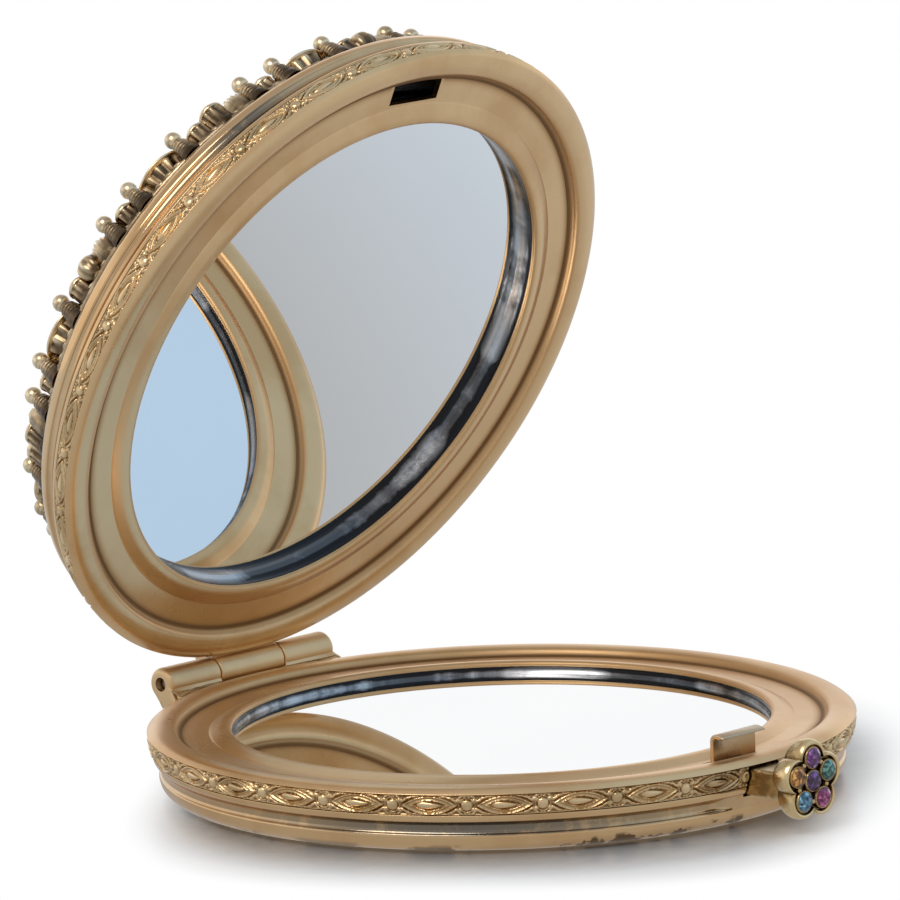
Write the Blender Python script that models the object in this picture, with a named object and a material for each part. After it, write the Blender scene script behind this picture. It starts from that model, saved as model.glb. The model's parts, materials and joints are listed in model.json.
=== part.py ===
# Compact mirror: a round hinged case with a mirror in each half, a push-button latch with a
# jewelled flower, and an antique casting set with stones on the lid.
# Metres, +Z up, hinge at +Y, latch at -Y, origin at the centre of the flat underside.
# The lid stands open. Lid pieces are drawn shut, mirrored in the parting plane, and hang
# from an empty on the hinge axis.

import math

import bmesh
import bpy
from mathutils import Matrix, Vector

# Whole case
case_radius = 0.03500
half_height = 0.00695
parting_gap = 0.00034
opening_angle = math.radians(65)
fit_gap = 0.00010
seat_gap = 0.00030
overrun = 0.00100
case_segments = 40

# Shells: floor, moulded side, seat of the rim band, rolled bead
floor_thickness = 0.00080
wall_thickness = 0.00080
side_inset = 0.00380
bead_width = 0.00325
bead_lip = 0.00067
bead_rise = 0.00066
side_outer_shares = (
    (0.145, 1.00), (0.355, 0.81), (0.370, 0.70), (0.290, 0.66), (0.290, 0.575),
    (0.370, 0.535), (0.420, 0.37), (0.550, 0.20), (0.740, 0.06), (1.000, 0.00),
)
side_inner_shares = ((0.790, 0.33), (0.630, 0.56), (0.590, 0.76))
bead_shares = ((0.00, -0.10), (0.15, 0.65), (0.45, 1.00), (0.75, 0.76), (1.00, 0.00))

# Rim bands
band_height = 0.00190
band_thickness = 0.00070
band_taper = 0.00050
band_shares = ((1.0, 0.0), (0.35, 0.25), (0.05, 0.62), (0.0, 1.0))

# Inner frames that hold the mirrors
frame_width = 0.00490
frame_drop = 0.00110
frame_sheet = 0.00060
groove_width = 0.00035
lip_width = 0.00226
lip_rise = 0.00056
lip_undercut = 0.00013
flange_drop = 0.00070
flange_thickness = 0.00055
flange_clearance = 0.00040
lip_shares = ((0.00, -0.12), (0.13, 0.63), (0.35, 1.00), (0.66, 0.71), (1.00, 0.00))

# Mirrors, their retaining rings and backings
ring_setback = 0.00012
ring_width = 0.00128
mirror_overlap = 0.00100
mirror_thickness = 0.00120
base_mirror_depth = 0.00057
lid_mirror_depth = 0.00155

# Hinge
hinge_offset = 0.00120
hinge_rise = 0.00019
hinge_half_length = 0.01160
center_half_length = 0.00450
barrel_radius = 0.00165
pin_radius = 0.00060
pin_recess = 0.00060
arm_depth = 0.00290
arm_back = 0.00120
barrel_segments = 16

# Latch slider
hook_inset = 0.00065
hook_half_width = 0.00300
hook_thickness = 0.00050
hook_lip_reach = 0.00090
hook_lip_thickness = 0.00040
foot_length = 0.00270
foot_thickness = 0.00045
latch_travel = 0.00080
stem_half_width = 0.00140
stem_height = 0.00250
stem_drop = 0.00032
stem_socket = 0.00080
base_slot_side_gap = 0.00090
window_side_gap = 0.00110
lid_slot_margin = 0.00040

# Guide tray and return spring under the mirror
guide_sheet = 0.00030
guide_wall = 0.00050
guide_headroom = 0.00065
guide_length = 0.00360
spring_wire = 0.00012
spring_clearance = 0.00020
spring_turns = 3.5
points_per_turn = 10

# Flower button
button_rise = 0.00060
button_standoff = 0.00360
button_depth = 0.00260
petal_offset = 0.00225
petal_radius = 0.00145
petal_count = 5
button_stone_radius = 0.00108
outline_points_per_petal = 6
calyx_shares = ((0.0, 0.76), (0.35, 0.93), (1.0, 1.0))

# Lid casting
plate_overhang = 0.00090
plate_thickness = 0.00070
setting_segments = 10
cup_wall = 0.00060
cup_taper_share = 0.80
cup_root_share = 0.50
prong_root_share = 0.62
bead_root_share = 0.74
leaf_root_share = 0.38
outer_ring_inset = 0.00390
outer_count = 10
outer_stone_radius = 0.00310
outer_cup_height = 0.00240
outer_turn = math.radians(4)
small_ring_inset = 0.00700
small_stone_radius = 0.00160
small_cup_height = 0.00170
inner_ring_radius = 0.01500
inner_count = 8
inner_stone_radius = 0.00200
inner_cup_height = 0.00190
center_stone_radius = 0.00360
center_cup_height = 0.00260
prong_radius = 0.00045
prong_ball_radius = 0.00072
prong_height = 0.00330
prong_spread = math.radians(50)
prong_segments = 6
lone_prong_inset = 0.00090
lone_prong_turn = math.radians(4.5)
edge_bead_radius = 0.00150
edge_bead_height = 0.00330
edge_bead_inset = 0.00150
edge_bead_turn = math.radians(-3.5)
small_bead_radius = 0.00080
small_bead_height = 0.00120
center_bead_clearance = 0.00250
center_bead_count = 16
leaf_length = 0.00230
leaf_width = 0.00110
leaf_height = 0.00110
leaf_clearance = 0.00080
short_leaf_length = 0.00150
scroll_turn = math.radians(9)
scroll_lean = math.radians(28)

# Stones
stone_segments = 8
stone_lift = 0.00010
seat_play = 0.00008
stone_shares = ((0.0, -0.62), (1.0, 0.0), (0.56, 0.36), (0.0, 0.36))
seat_depth_share = 0.78
seat_floor_share = 0.45

# Worked out from the sizes above
seat_radius = case_radius - band_thickness - fit_gap
bead_inner = case_radius - bead_width
bead_crest = half_height - parting_gap / 2
seat_top = bead_crest - bead_rise
side_height = seat_top - band_height - 2 * fit_gap
bead_under = seat_top - bead_lip
flat_radius = case_radius - side_inset
frame_face = half_height - frame_drop
frame_outer = bead_inner - groove_width
aperture_radius = frame_outer - frame_width
lip_under = frame_face - lip_undercut
ring_inner = aperture_radius + ring_setback
ring_outer = ring_inner + ring_width
mirror_radius = ring_outer + fit_gap + mirror_overlap
hinge_y = case_radius + hinge_offset
hinge_z = half_height + hinge_rise
groove_radius = barrel_radius + seat_gap
hook_face = bead_inner - hook_inset
hook_back = hook_face - hook_thickness
hook_lip_bottom = 2 * half_height - bead_under + fit_gap
hook_top = hook_lip_bottom + hook_lip_thickness
stem_top = seat_top - stem_drop
stem_bottom = stem_top - stem_height
guide_floor = floor_thickness + fit_gap + guide_sheet
base_mirror_back = lip_under - base_mirror_depth - mirror_thickness
guide_top = base_mirror_back - guide_headroom
foot_bottom = guide_floor + fit_gap
foot_top = foot_bottom + foot_thickness
spring_height = (foot_top + base_mirror_back) / 2
spring_radius = (base_mirror_back - foot_top) / 2 - spring_clearance - spring_wire
foot_end = hook_face - foot_length
guide_stop = foot_end - latch_travel - seat_gap
guide_back = guide_stop - guide_wall
guide_half_width = hook_half_width + seat_gap + guide_wall
button_height = (stem_bottom + stem_top) / 2 + button_rise
button_back = case_radius + button_standoff
button_face = button_back + button_depth
lid_outside = 2 * half_height
plate_bottom = lid_outside + fit_gap
plate_top = plate_bottom + plate_thickness
plate_radius = flat_radius + plate_overhang
outer_ring_radius = plate_radius - outer_ring_inset
small_ring_radius = plate_radius - small_ring_inset
center_bead_ring = center_stone_radius + cup_wall + center_bead_clearance


def material(name, colour, roughness, metallic):
    made = bpy.data.materials.new(name)
    made.use_nodes = True
    shader = made.node_tree.nodes["Principled BSDF"]
    shader.inputs["Base Color"].default_value = (*colour, 1)
    shader.inputs["Roughness"].default_value = roughness
    shader.inputs["Metallic"].default_value = metallic
    return made


def solid(name, mesh, finish, parent=None):
    """Makes a mesh drawn in the shut case's frame one named piece of its body."""
    item = bpy.data.objects.new(name, mesh)
    mesh.name = name
    mesh.materials.append(finish)
    mesh.shade_smooth()
    mesh.set_sharp_from_angle(angle=crease_angle)
    bpy.context.scene.collection.objects.link(item)
    if parent:
        item.parent = parent
        item.location = -parent.location
    return item


def helper(name, mesh, parent=None):
    """A cutter or a shape to be joined, which is no piece of its own."""
    item = solid(name, mesh, helper_finish, parent)
    item.hide_render = True
    item.display_type = "WIRE"
    return item


def combine(target, operation, *others):
    for other in others:
        step = target.modifiers.new(other.name, "BOOLEAN")
        step.operation = operation
        step.object = other
        step.use_self = operation == "UNION"


def finished(shape):
    """Turns a bmesh into a mesh with its faces pointing out."""
    bmesh.ops.remove_doubles(shape, verts=shape.verts, dist=weld_distance)
    bmesh.ops.recalc_face_normals(shape, faces=shape.faces)
    mesh = bpy.data.meshes.new("shape")
    shape.to_mesh(mesh)
    shape.free()
    return mesh


def turned(outline, segments, matrix=None):
    """Spins (radius, height) points about Z; a ring's outline is closed, a disc's ends on Z."""
    shape = bmesh.new()
    points = [shape.verts.new((radius, 0, height)) for radius, height in outline]
    edges = [shape.edges.new(pair) for pair in zip(points, points[1:])]
    if outline[0][0] > 0:
        edges.append(shape.edges.new((points[-1], points[0])))
    bmesh.ops.spin(
        shape, geom=points + edges, cent=(0, 0, 0), axis=(0, 0, 1),
        angle=math.tau, steps=segments,
    )
    mesh = finished(shape)
    if matrix:
        mesh.transform(matrix)
    return mesh


def extruded(outline, left, right):
    """A (y, z) outline drawn out along X from left to right."""
    shape = bmesh.new()
    face = shape.faces.new([shape.verts.new((left, y, z)) for y, z in outline])
    drawn = bmesh.ops.extrude_face_region(shape, geom=[face])["geom"]
    corners = [item for item in drawn if isinstance(item, bmesh.types.BMVert)]
    bmesh.ops.translate(shape, vec=(right - left, 0, 0), verts=corners)
    return finished(shape)


def block(left, right, front, back, bottom, top):
    outline = ((front, bottom), (back, bottom), (back, top), (front, top))
    return extruded(outline, left, right)


def lofted(rings):
    """Closed rings of points, skinned in order and capped at both ends."""
    shape = bmesh.new()
    loops = [[shape.verts.new(point) for point in ring] for ring in rings]
    for lower, upper in zip(loops, loops[1:]):
        for i, corner in enumerate(lower):
            shape.faces.new((lower[i - 1], corner, upper[i], upper[i - 1]))
    shape.faces.new(loops[0])
    shape.faces.new(loops[-1])
    return finished(shape)


def gathered(meshes):
    """Several closed meshes in one, for a Boolean to join or to cut with."""
    shape = bmesh.new()
    for mesh in meshes:
        shape.from_mesh(mesh)
    together = bpy.data.meshes.new("gathered")
    shape.to_mesh(together)
    shape.free()
    return together


def rod(radius, left, right, y, z, segments):
    """A cylinder along X."""
    lengthwise = Matrix.Translation((0, y, z)) @ Matrix.Rotation(math.pi / 2, 4, "Y")
    return turned(((0, left), (radius, left), (radius, right), (0, right)), segments, lengthwise)


def polar(radius, angle, height):
    return Vector((radius * math.cos(angle), radius * math.sin(angle), height))


def drawn_in(half, mesh):
    """Mirrors a mesh drawn for the base into the shut lid when the half is the lid."""
    if half == "lid":
        mesh.transform(Matrix.Translation((0, 0, lid_outside)) @ Matrix.Diagonal((1, 1, -1, 1)))
        mesh.flip_normals()
    return mesh


def shell(half, parent):
    crest = bead_crest - seat_top
    outline = [(0, floor_thickness), (flat_radius - fit_gap, floor_thickness)]
    outline += [(case_radius - r * side_inset, z * side_height) for r, z in side_inner_shares]
    outline += [(seat_radius - wall_thickness, side_height), (seat_radius - wall_thickness, bead_under)]
    outline += [(bead_inner, bead_under)]
    outline += [(bead_inner + r * bead_width, seat_top + z * crest) for r, z in bead_shares]
    outline += [(seat_radius, seat_top), (seat_radius, side_height)]
    outline += [(case_radius - r * side_inset, z * side_height) for r, z in side_outer_shares]
    outline += [(0, 0)]
    mesh = drawn_in(half, turned(outline, case_segments))
    return solid(half + "_shell", mesh, satin_gold, parent)


def rim_band(half, parent):
    inner = seat_radius + fit_gap
    bottom = side_height + fit_gap
    outline = [(inner, bottom)]
    outline += [(case_radius - r * band_taper, bottom + z * band_height) for r, z in band_shares]
    outline += [(inner, bottom + band_height)]
    mesh = drawn_in(half, turned(outline, case_segments))
    return solid(half + "_rim_band", mesh, embossed_gold, parent)


def inner_frame(half, parent):
    flange_top = frame_face - flange_drop
    flange_outer = seat_radius - wall_thickness - flange_clearance
    wall_inner = frame_outer - frame_sheet
    ring_seat = ring_outer + fit_gap
    outline = [(aperture_radius + r * lip_width, frame_face + z * lip_rise) for r, z in lip_shares]
    outline += [(frame_outer, frame_face), (frame_outer, flange_top), (flange_outer, flange_top)]
    outline += [(flange_outer, flange_top - flange_thickness)]
    outline += [(wall_inner, flange_top - flange_thickness), (wall_inner, frame_face - frame_sheet)]
    outline += [(ring_seat, frame_face - frame_sheet), (ring_seat, lip_under)]
    outline += [(aperture_radius, lip_under)]
    mesh = drawn_in(half, turned(outline, case_segments))
    return solid(half + "_inner_frame", mesh, satin_gold, parent)


def mirror_stack(half, mirror_depth, parent):
    """The retaining ring, the mirror and the backing between the frame's lip and the floor."""
    face = lip_under - mirror_depth
    back = face - mirror_thickness
    low = face + fit_gap
    high = lip_under - fit_gap
    outline = ((ring_inner, low), (ring_outer, low), (ring_outer, high), (ring_inner, high))
    ring = turned(outline, case_segments)
    glass = turned(((0, back), (mirror_radius, back), (mirror_radius, face), (0, face)), case_segments)
    low = floor_thickness + fit_gap
    high = back - fit_gap
    pad = turned(((0, low), (mirror_radius, low), (mirror_radius, high), (0, high)), case_segments)
    solid(half + "_mirror_ring", drawn_in(half, ring), nickel, parent)
    solid(half + "_mirror", drawn_in(half, glass), mirror_glass, parent)
    return solid(half + "_mirror_backing", drawn_in(half, pad), backing_felt, parent)


def knuckle(name, left, right, up, parent):
    """A hinge barrel on an arm whose front is hollowed to the round case; up is 1 on the lid."""
    arm_z = hinge_z + up * arm_depth
    near_z = hinge_z + up * seat_gap
    front = case_radius - barrel_radius - arm_depth
    outline = [(front, arm_z), (hinge_y - seat_gap, arm_z), (hinge_y + arm_back, hinge_z + up * arm_back)]
    outline += [(hinge_y, near_z), (front, near_z)]
    piece = solid(name, extruded(outline, left, right), satin_gold, parent)
    reach = arm_depth + overrun
    rim = case_radius + seat_gap
    low, high = hinge_z - reach, hinge_z + reach
    hollow = turned(((0, low), (rim, low), (rim, high), (0, high)), case_segments)
    barrel = rod(barrel_radius, left, right, hinge_y, hinge_z, barrel_segments)
    bore = rod(pin_radius + fit_gap, left - overrun, right + overrun, hinge_y, hinge_z, barrel_segments)
    combine(piece, "DIFFERENCE", helper(name + "_hollow", hollow, parent))
    combine(piece, "UNION", helper(name + "_barrel", barrel, parent))
    combine(piece, "DIFFERENCE", helper(name + "_bore", bore, parent))


def hinge(lid_axis):
    inner = center_half_length + seat_gap / 2
    knuckle("hinge_knuckle_left", -hinge_half_length, -inner, -1, None)
    knuckle("hinge_knuckle_right", inner, hinge_half_length, -1, None)
    center = center_half_length - seat_gap / 2
    knuckle("hinge_knuckle_center", -center, center, 1, lid_axis)
    pin_half = hinge_half_length - pin_recess
    pin = rod(pin_radius, -pin_half, pin_half, hinge_y, hinge_z, barrel_segments)
    solid("hinge_pin", pin, steel)


def relief(half, parent):
    """The trough that lets a rim pass the hinge barrels."""
    reach = hinge_half_length + seat_gap
    mesh = rod(groove_radius, -reach, reach, hinge_y, hinge_z, barrel_segments)
    return helper(half + "_hinge_relief", mesh, parent)


def half_case(half, mirror_depth, parent):
    body = shell(half, parent)
    band = rim_band(half, parent)
    frame = inner_frame(half, parent)
    pad = mirror_stack(half, mirror_depth, parent)
    trough = relief(half, parent)
    combine(body, "DIFFERENCE", trough)
    combine(band, "DIFFERENCE", trough)
    return body, band, frame, pad


def latch_openings(base_pieces, lid_frame, lid_axis):
    """The stem's window in the rim, the hook's slots in both frames and the tray's bay."""
    body, band, frame, pad = base_pieces
    outside = case_radius + overrun
    side = stem_half_width + window_side_gap
    window = block(-side, side, -outside, -hook_face, stem_bottom - seat_gap, stem_top + seat_gap)
    window = helper("stem_window", window)
    combine(body, "DIFFERENCE", window)
    combine(band, "DIFFERENCE", window)
    flange_bottom = frame_face - flange_drop - flange_thickness
    slot_back = hook_back - latch_travel - seat_gap
    low, high = flange_bottom - overrun, frame_face + overrun
    side = hook_half_width + base_slot_side_gap
    slot = block(-side, side, -outside, -slot_back, low, high)
    combine(frame, "DIFFERENCE", helper("base_hook_slot", slot))
    side = hook_half_width + seat_gap
    slot = block(-side, side, -outside, lid_slot_margin - slot_back, low, high)
    combine(lid_frame, "DIFFERENCE", helper("lid_hook_slot", drawn_in("lid", slot), lid_axis))
    side = guide_half_width + seat_gap
    bay = block(-side, side, -outside, seat_gap - guide_back, -overrun, half_height)
    combine(pad, "DIFFERENCE", helper("guide_bay", bay))


def latch_slider(parent):
    """Hook, upright plate and foot in one bent strip, with the button's stem brazed to it."""
    lip_front = hook_face + hook_lip_reach
    bend = hook_lip_thickness / 2
    strip = (
        (-hook_face, foot_bottom), (-foot_end, foot_bottom), (-foot_end, foot_top),
        (-hook_back, foot_top), (-hook_back, hook_top), (-lip_front + bend, hook_top),
        (-lip_front, hook_top - bend), (-lip_front, hook_lip_bottom), (-hook_face, hook_lip_bottom),
    )
    mesh = extruded(strip, -hook_half_width, hook_half_width)
    piece = solid("latch_slider", mesh, satin_gold, parent)
    front = -button_back - stem_socket + fit_gap
    stem = block(-stem_half_width, stem_half_width, front, -hook_face + bend, stem_bottom, stem_top)
    combine(piece, "UNION", helper("latch_stem", stem, parent))


def rosette(scale, y):
    """The outline of equal circles round a centre, in a plane across Y."""
    step = math.tau / petal_count
    ring = []
    for petal in range(petal_count):
        for i in range(outline_points_per_petal):
            off = (i / outline_points_per_petal - 1 / 2) * step
            sideways = petal_offset * math.sin(off)
            reach = petal_offset * math.cos(off) + math.sqrt(petal_radius**2 - sideways**2)
            angle = math.pi / 2 + petal * step + off
            point = polar(reach * scale, angle, 0)
            ring.append((point.x, y, button_height + point.y))
    return ring


def stone_mesh(radius, matrix):
    return turned([(r * radius, z * radius) for r, z in stone_shares], stone_segments, matrix)


def seat_cutter(radius, matrix):
    """The tapered pocket under a stone, run on past its rim."""
    wide = radius - seat_play
    narrow = wide * seat_floor_share
    depth = radius * seat_depth_share
    mouth = wide + (wide - narrow) * seat_gap / depth
    outline = ((0, -depth), (narrow, -depth), (mouth, seat_gap), (0, seat_gap))
    return turned(outline, stone_segments, matrix)


def flower_button(parent):
    rings = [rosette(scale, -button_back - along * button_depth) for along, scale in calyx_shares]
    piece = solid("flower_button", lofted(rings), satin_gold, parent)
    side = stem_half_width + fit_gap
    low, high = stem_bottom - fit_gap, stem_top + fit_gap
    socket = block(-side, side, -button_back - stem_socket, -button_back + overrun, low, high)
    spots = [("center", 0, 0, amethyst)]
    petals = (
        ("top", violet), ("left", topaz), ("lower_left", aquamarine),
        ("lower_right", ruby), ("right", emerald),
    )
    for i, (place, finish) in enumerate(petals):
        spots.append((place, petal_offset, math.pi / 2 + i * math.tau / petal_count, finish))
    pockets = []
    for place, offset, angle, finish in spots:
        flat = polar(offset, angle, 0)
        face = Vector((flat.x, -button_face, button_height + flat.y))
        outward = Matrix.Rotation(math.pi / 2, 4, "X")
        pockets.append(seat_cutter(button_stone_radius, Matrix.Translation(face) @ outward))
        seat = face - Vector((0, stone_lift, 0))
        gem = stone_mesh(button_stone_radius, Matrix.Translation(seat) @ outward)
        solid("button_stone_" + place, gem, finish, parent)
    combine(piece, "DIFFERENCE", helper("stem_socket", socket, parent))
    combine(piece, "DIFFERENCE", helper("button_seats", gathered(pockets), parent))


def latch_guide():
    """The tray on the floor in which the slider's foot runs and against which the spring pushes."""
    front = -guide_back - guide_length
    low = floor_thickness + fit_gap
    side = guide_half_width
    mesh = block(-side, side, front, -guide_back, low, guide_top)
    tray = solid("latch_guide", mesh, steel)
    side = hook_half_width + seat_gap
    hollow = block(-side, side, front - overrun, -guide_stop, guide_floor, guide_top + overrun)
    combine(tray, "DIFFERENCE", helper("guide_channel", hollow))


def latch_spring():
    start = -hook_back + seat_gap + spring_wire
    end = -guide_stop - seat_gap - spring_wire
    curve = bpy.data.curves.new("latch_spring", "CURVE")
    curve.dimensions = "3D"
    curve.bevel_depth = spring_wire
    curve.bevel_resolution = 0
    curve.use_fill_caps = True
    coil = curve.splines.new("POLY")
    last = int(spring_turns * points_per_turn)
    coil.points.add(last)
    for i in range(last + 1):
        turn = polar(spring_radius, math.tau * i / points_per_turn, 0)
        along = start + (end - start) * i / last
        coil.points[i].co = (turn.x, along, spring_height + turn.y, 1)
    item = bpy.data.objects.new("latch_spring", curve)
    curve.materials.append(steel)
    bpy.context.scene.collection.objects.link(item)


def prong(spot):
    """A post with a ball tip, rooted in the plate."""
    root = -plate_thickness * prong_root_share
    outline = (
        (0, root), (prong_radius, root), (prong_radius, prong_height - prong_ball_radius),
        (prong_ball_radius, prong_height), (prong_radius, prong_height + prong_ball_radius / 2),
        (0, prong_height + prong_ball_radius),
    )
    return turned(outline, prong_segments, Matrix.Translation(spot))


def setting(name, angle, ring_radius, stone_radius, cup_height, finish, parent):
    """One stone and the raised and cut shapes of its cup."""
    center = polar(ring_radius, angle, plate_top)
    facing = Matrix.Translation(center) @ Matrix.Rotation(angle, 4, "Z")
    root = -plate_thickness * cup_root_share
    wide = stone_radius + cup_wall
    narrow = wide * cup_taper_share
    cup = turned(((0, root), (narrow, root), (wide, cup_height), (0, cup_height)), setting_segments, facing)
    rim = Matrix.Translation(center + Vector((0, 0, cup_height)))
    pocket = seat_cutter(stone_radius, rim)
    lifted = Matrix.Translation(center + Vector((0, 0, cup_height + stone_lift)))
    solid(name, stone_mesh(stone_radius, lifted), finish, parent)
    return cup, pocket


def four_prongs(angle, ring_radius, stone_radius):
    """Two prongs on the outer and two on the inner side of a setting."""
    center = polar(ring_radius, angle, plate_top)
    reach = stone_radius + prong_ball_radius + seat_gap
    around = [angle + side + turn for side in (0, math.pi) for turn in (-prong_spread, prong_spread)]
    return [prong(center + polar(reach, turn, 0)) for turn in around]


def bead_ball(radius, height, ring_radius, angle):
    """A plain bead on a short neck, whose top is at the given height over the plate."""
    root = -plate_thickness * bead_root_share
    neck = radius * cup_taper_share
    middle = height - radius
    outline = (
        (0, root), (neck, root), (neck, middle / 2), (radius, middle),
        (neck, height - radius / 3), (0, height),
    )
    spot = Matrix.Translation(polar(ring_radius, angle, plate_top))
    return turned(outline, stone_segments, spot)


def leaf(ring_radius, angle, length, lean):
    """A pointed leaf with a raised spine, lying along a radius or leaning from it."""
    root = -plate_thickness * leaf_root_share
    outline = ((0, root), (1, root), (1, leaf_height / 3), (0, leaf_height))
    stretch = Matrix.Diagonal((length, leaf_width, 1, 1))
    spot = Matrix.Translation(polar(ring_radius, angle, plate_top))
    return turned(outline, 4, spot @ Matrix.Rotation(angle + lean, 4, "Z") @ stretch)


def outer_group(i, step, finish, parent):
    """A large setting at the edge, and the beads, prong, leaves and small setting beside it."""
    angle = outer_turn + i * step
    between = angle + step / 2
    cup, pocket = setting(
        f"lid_stone_outer_{i + 1}", angle, outer_ring_radius, outer_stone_radius,
        outer_cup_height, finish, parent,
    )
    small_cup, small_pocket = setting(
        f"lid_stone_small_{i + 1}", between, small_ring_radius, small_stone_radius,
        small_cup_height, crystal, parent,
    )
    prongs = four_prongs(angle, outer_ring_radius, outer_stone_radius)
    prongs.append(prong(polar(plate_radius - lone_prong_inset, between + lone_prong_turn, plate_top)))
    edge = plate_radius - edge_bead_inset
    bead = bead_ball(edge_bead_radius, edge_bead_height, edge, between + edge_bead_turn)
    leaf_radius = outer_ring_radius - outer_stone_radius - cup_wall - leaf_clearance - leaf_length
    leaves = [leaf(leaf_radius, angle, leaf_length, 0)]
    for side in (-1, 1):
        scroll_angle = between + side * scroll_turn
        leaves.append(leaf(leaf_radius, scroll_angle, leaf_length, side * scroll_lean))
    return [cup, small_cup], prongs, [bead], leaves, [pocket, small_pocket]


def inner_group(i, step, finish, parent):
    """A setting of the inner ring with a leaf towards the centre and a bead beside it."""
    angle = i * step
    cup, pocket = setting(
        f"lid_stone_inner_{i + 1}", angle, inner_ring_radius, inner_stone_radius,
        inner_cup_height, finish, parent,
    )
    leaf_radius = inner_ring_radius - inner_stone_radius - cup_wall - short_leaf_length
    bead = bead_ball(small_bead_radius, small_bead_height, inner_ring_radius, angle + step / 2)
    return [cup], [], [bead], [leaf(leaf_radius, angle, short_leaf_length, 0)], [pocket]


def lid_casting(parent):
    """The plate with its settings, beads and leaves as one casting, and the stones on it."""
    turn = math.tau / case_segments
    rings = [
        [polar(plate_radius, i * turn, height) for i in range(case_segments)]
        for height in (plate_bottom, plate_top)
    ]
    piece = solid("lid_ornament", lofted(rings), antique_gold, parent)
    cup, pocket = setting(
        "lid_stone_center", 0, 0, center_stone_radius, center_cup_height, amethyst, parent
    )
    step = math.tau / center_bead_count
    beads = [
        bead_ball(small_bead_radius, small_bead_height, center_bead_ring, (i + 1 / 2) * step)
        for i in range(center_bead_count)
    ]
    groups = [([cup], four_prongs(0, 0, center_stone_radius), beads, [], [pocket])]
    for i in range(inner_count):
        finish = (violet, crystal)[i % 2]
        groups.append(inner_group(i, math.tau / inner_count, finish, parent))
    colours = (topaz, aquamarine, amethyst, emerald, ruby)
    for i in range(outer_count):
        finish = colours[i % len(colours)]
        groups.append(outer_group(i, math.tau / outer_count, finish, parent))
    cups, prongs, beads, leaves, pockets = (sum(kind, []) for kind in zip(*groups))
    for kind, shapes in (("cups", cups), ("prongs", prongs), ("beads", beads), ("leaves", leaves)):
        combine(piece, "UNION", helper("casting_" + kind, gathered(shapes), parent))
    combine(piece, "DIFFERENCE", helper("casting_seats", gathered(pockets), parent))


for leftover in list(bpy.data.objects):
    bpy.data.objects.remove(leftover, do_unlink=True)

crease_angle = math.radians(35)
weld_distance = 0.0000005

helper_finish = material("helper", (0.5, 0.5, 0.5), 0.5, 0)
satin_gold = material("satin_gold", (0.58, 0.44, 0.27), 0.32, 1)
embossed_gold = material("embossed_gold", (0.60, 0.42, 0.20), 0.28, 1)
antique_gold = material("antique_gold", (0.26, 0.20, 0.14), 0.42, 1)
nickel = material("nickel", (0.62, 0.63, 0.66), 0.12, 1)
steel = material("steel", (0.42, 0.41, 0.40), 0.35, 1)
mirror_glass = material("mirror_glass", (0.92, 0.94, 0.95), 0.02, 1)
backing_felt = material("backing_felt", (0.05, 0.05, 0.05), 0.90, 0)
amethyst = material("amethyst", (0.09, 0.03, 0.12), 0.05, 0)
violet = material("violet", (0.36, 0.12, 0.45), 0.05, 0)
topaz = material("topaz", (0.75, 0.33, 0.04), 0.05, 0)
aquamarine = material("aquamarine", (0.24, 0.47, 0.58), 0.05, 0)
ruby = material("ruby", (0.45, 0.08, 0.24), 0.05, 0)
emerald = material("emerald", (0.10, 0.30, 0.26), 0.05, 0)
crystal = material("crystal", (0.62, 0.50, 0.62), 0.05, 0)

lid_axis = bpy.data.objects.new("lid_axis", None)
lid_axis.location = (0, hinge_y, hinge_z)
lid_axis.rotation_euler.x = -opening_angle
bpy.context.scene.collection.objects.link(lid_axis)

latch_axis = bpy.data.objects.new("latch_axis", None)
latch_axis.location = (0, -hook_face, (stem_bottom + stem_top) / 2)
bpy.context.scene.collection.objects.link(latch_axis)

base_pieces = half_case("base", base_mirror_depth, None)
lid_pieces = half_case("lid", lid_mirror_depth, lid_axis)
hinge(lid_axis)
latch_openings(base_pieces, lid_pieces[2], lid_axis)
latch_slider(latch_axis)
flower_button(latch_axis)
latch_guide()
latch_spring()
lid_casting(lid_axis)
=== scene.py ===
# Compact mirror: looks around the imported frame.
# Lengths are written in millimetres and turned into metres when a mesh is made.
# Lid pieces are drawn shut, over the base, and are then opened about the hinge pin.

import json
import math

import bmesh
import bpy
import numpy as np
from mathutils import Matrix, Vector

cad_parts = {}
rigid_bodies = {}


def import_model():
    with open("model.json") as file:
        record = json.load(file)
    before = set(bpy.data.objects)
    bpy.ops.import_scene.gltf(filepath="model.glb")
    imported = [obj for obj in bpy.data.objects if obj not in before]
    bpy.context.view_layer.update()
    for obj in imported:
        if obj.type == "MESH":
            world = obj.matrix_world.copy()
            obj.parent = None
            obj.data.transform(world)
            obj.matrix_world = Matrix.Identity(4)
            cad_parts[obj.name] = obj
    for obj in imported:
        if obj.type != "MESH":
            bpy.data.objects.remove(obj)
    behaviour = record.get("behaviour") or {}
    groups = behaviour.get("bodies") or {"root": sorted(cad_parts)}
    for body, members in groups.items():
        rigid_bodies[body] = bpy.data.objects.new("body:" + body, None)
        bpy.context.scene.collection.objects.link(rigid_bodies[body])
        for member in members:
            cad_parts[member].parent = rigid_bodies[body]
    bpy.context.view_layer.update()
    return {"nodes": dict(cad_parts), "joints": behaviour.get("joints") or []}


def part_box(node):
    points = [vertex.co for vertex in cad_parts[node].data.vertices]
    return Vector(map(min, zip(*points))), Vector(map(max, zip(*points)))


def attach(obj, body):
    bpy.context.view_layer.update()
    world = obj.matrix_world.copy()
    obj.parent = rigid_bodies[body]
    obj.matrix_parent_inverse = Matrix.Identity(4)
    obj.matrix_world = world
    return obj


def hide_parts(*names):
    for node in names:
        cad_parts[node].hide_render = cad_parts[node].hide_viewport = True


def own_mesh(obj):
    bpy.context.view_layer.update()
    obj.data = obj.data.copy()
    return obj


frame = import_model()
scene = bpy.context.scene
mm = 0.001
print("frame loaded:", len(frame["nodes"]), "nodes")


# Sizes that several pieces share

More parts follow.
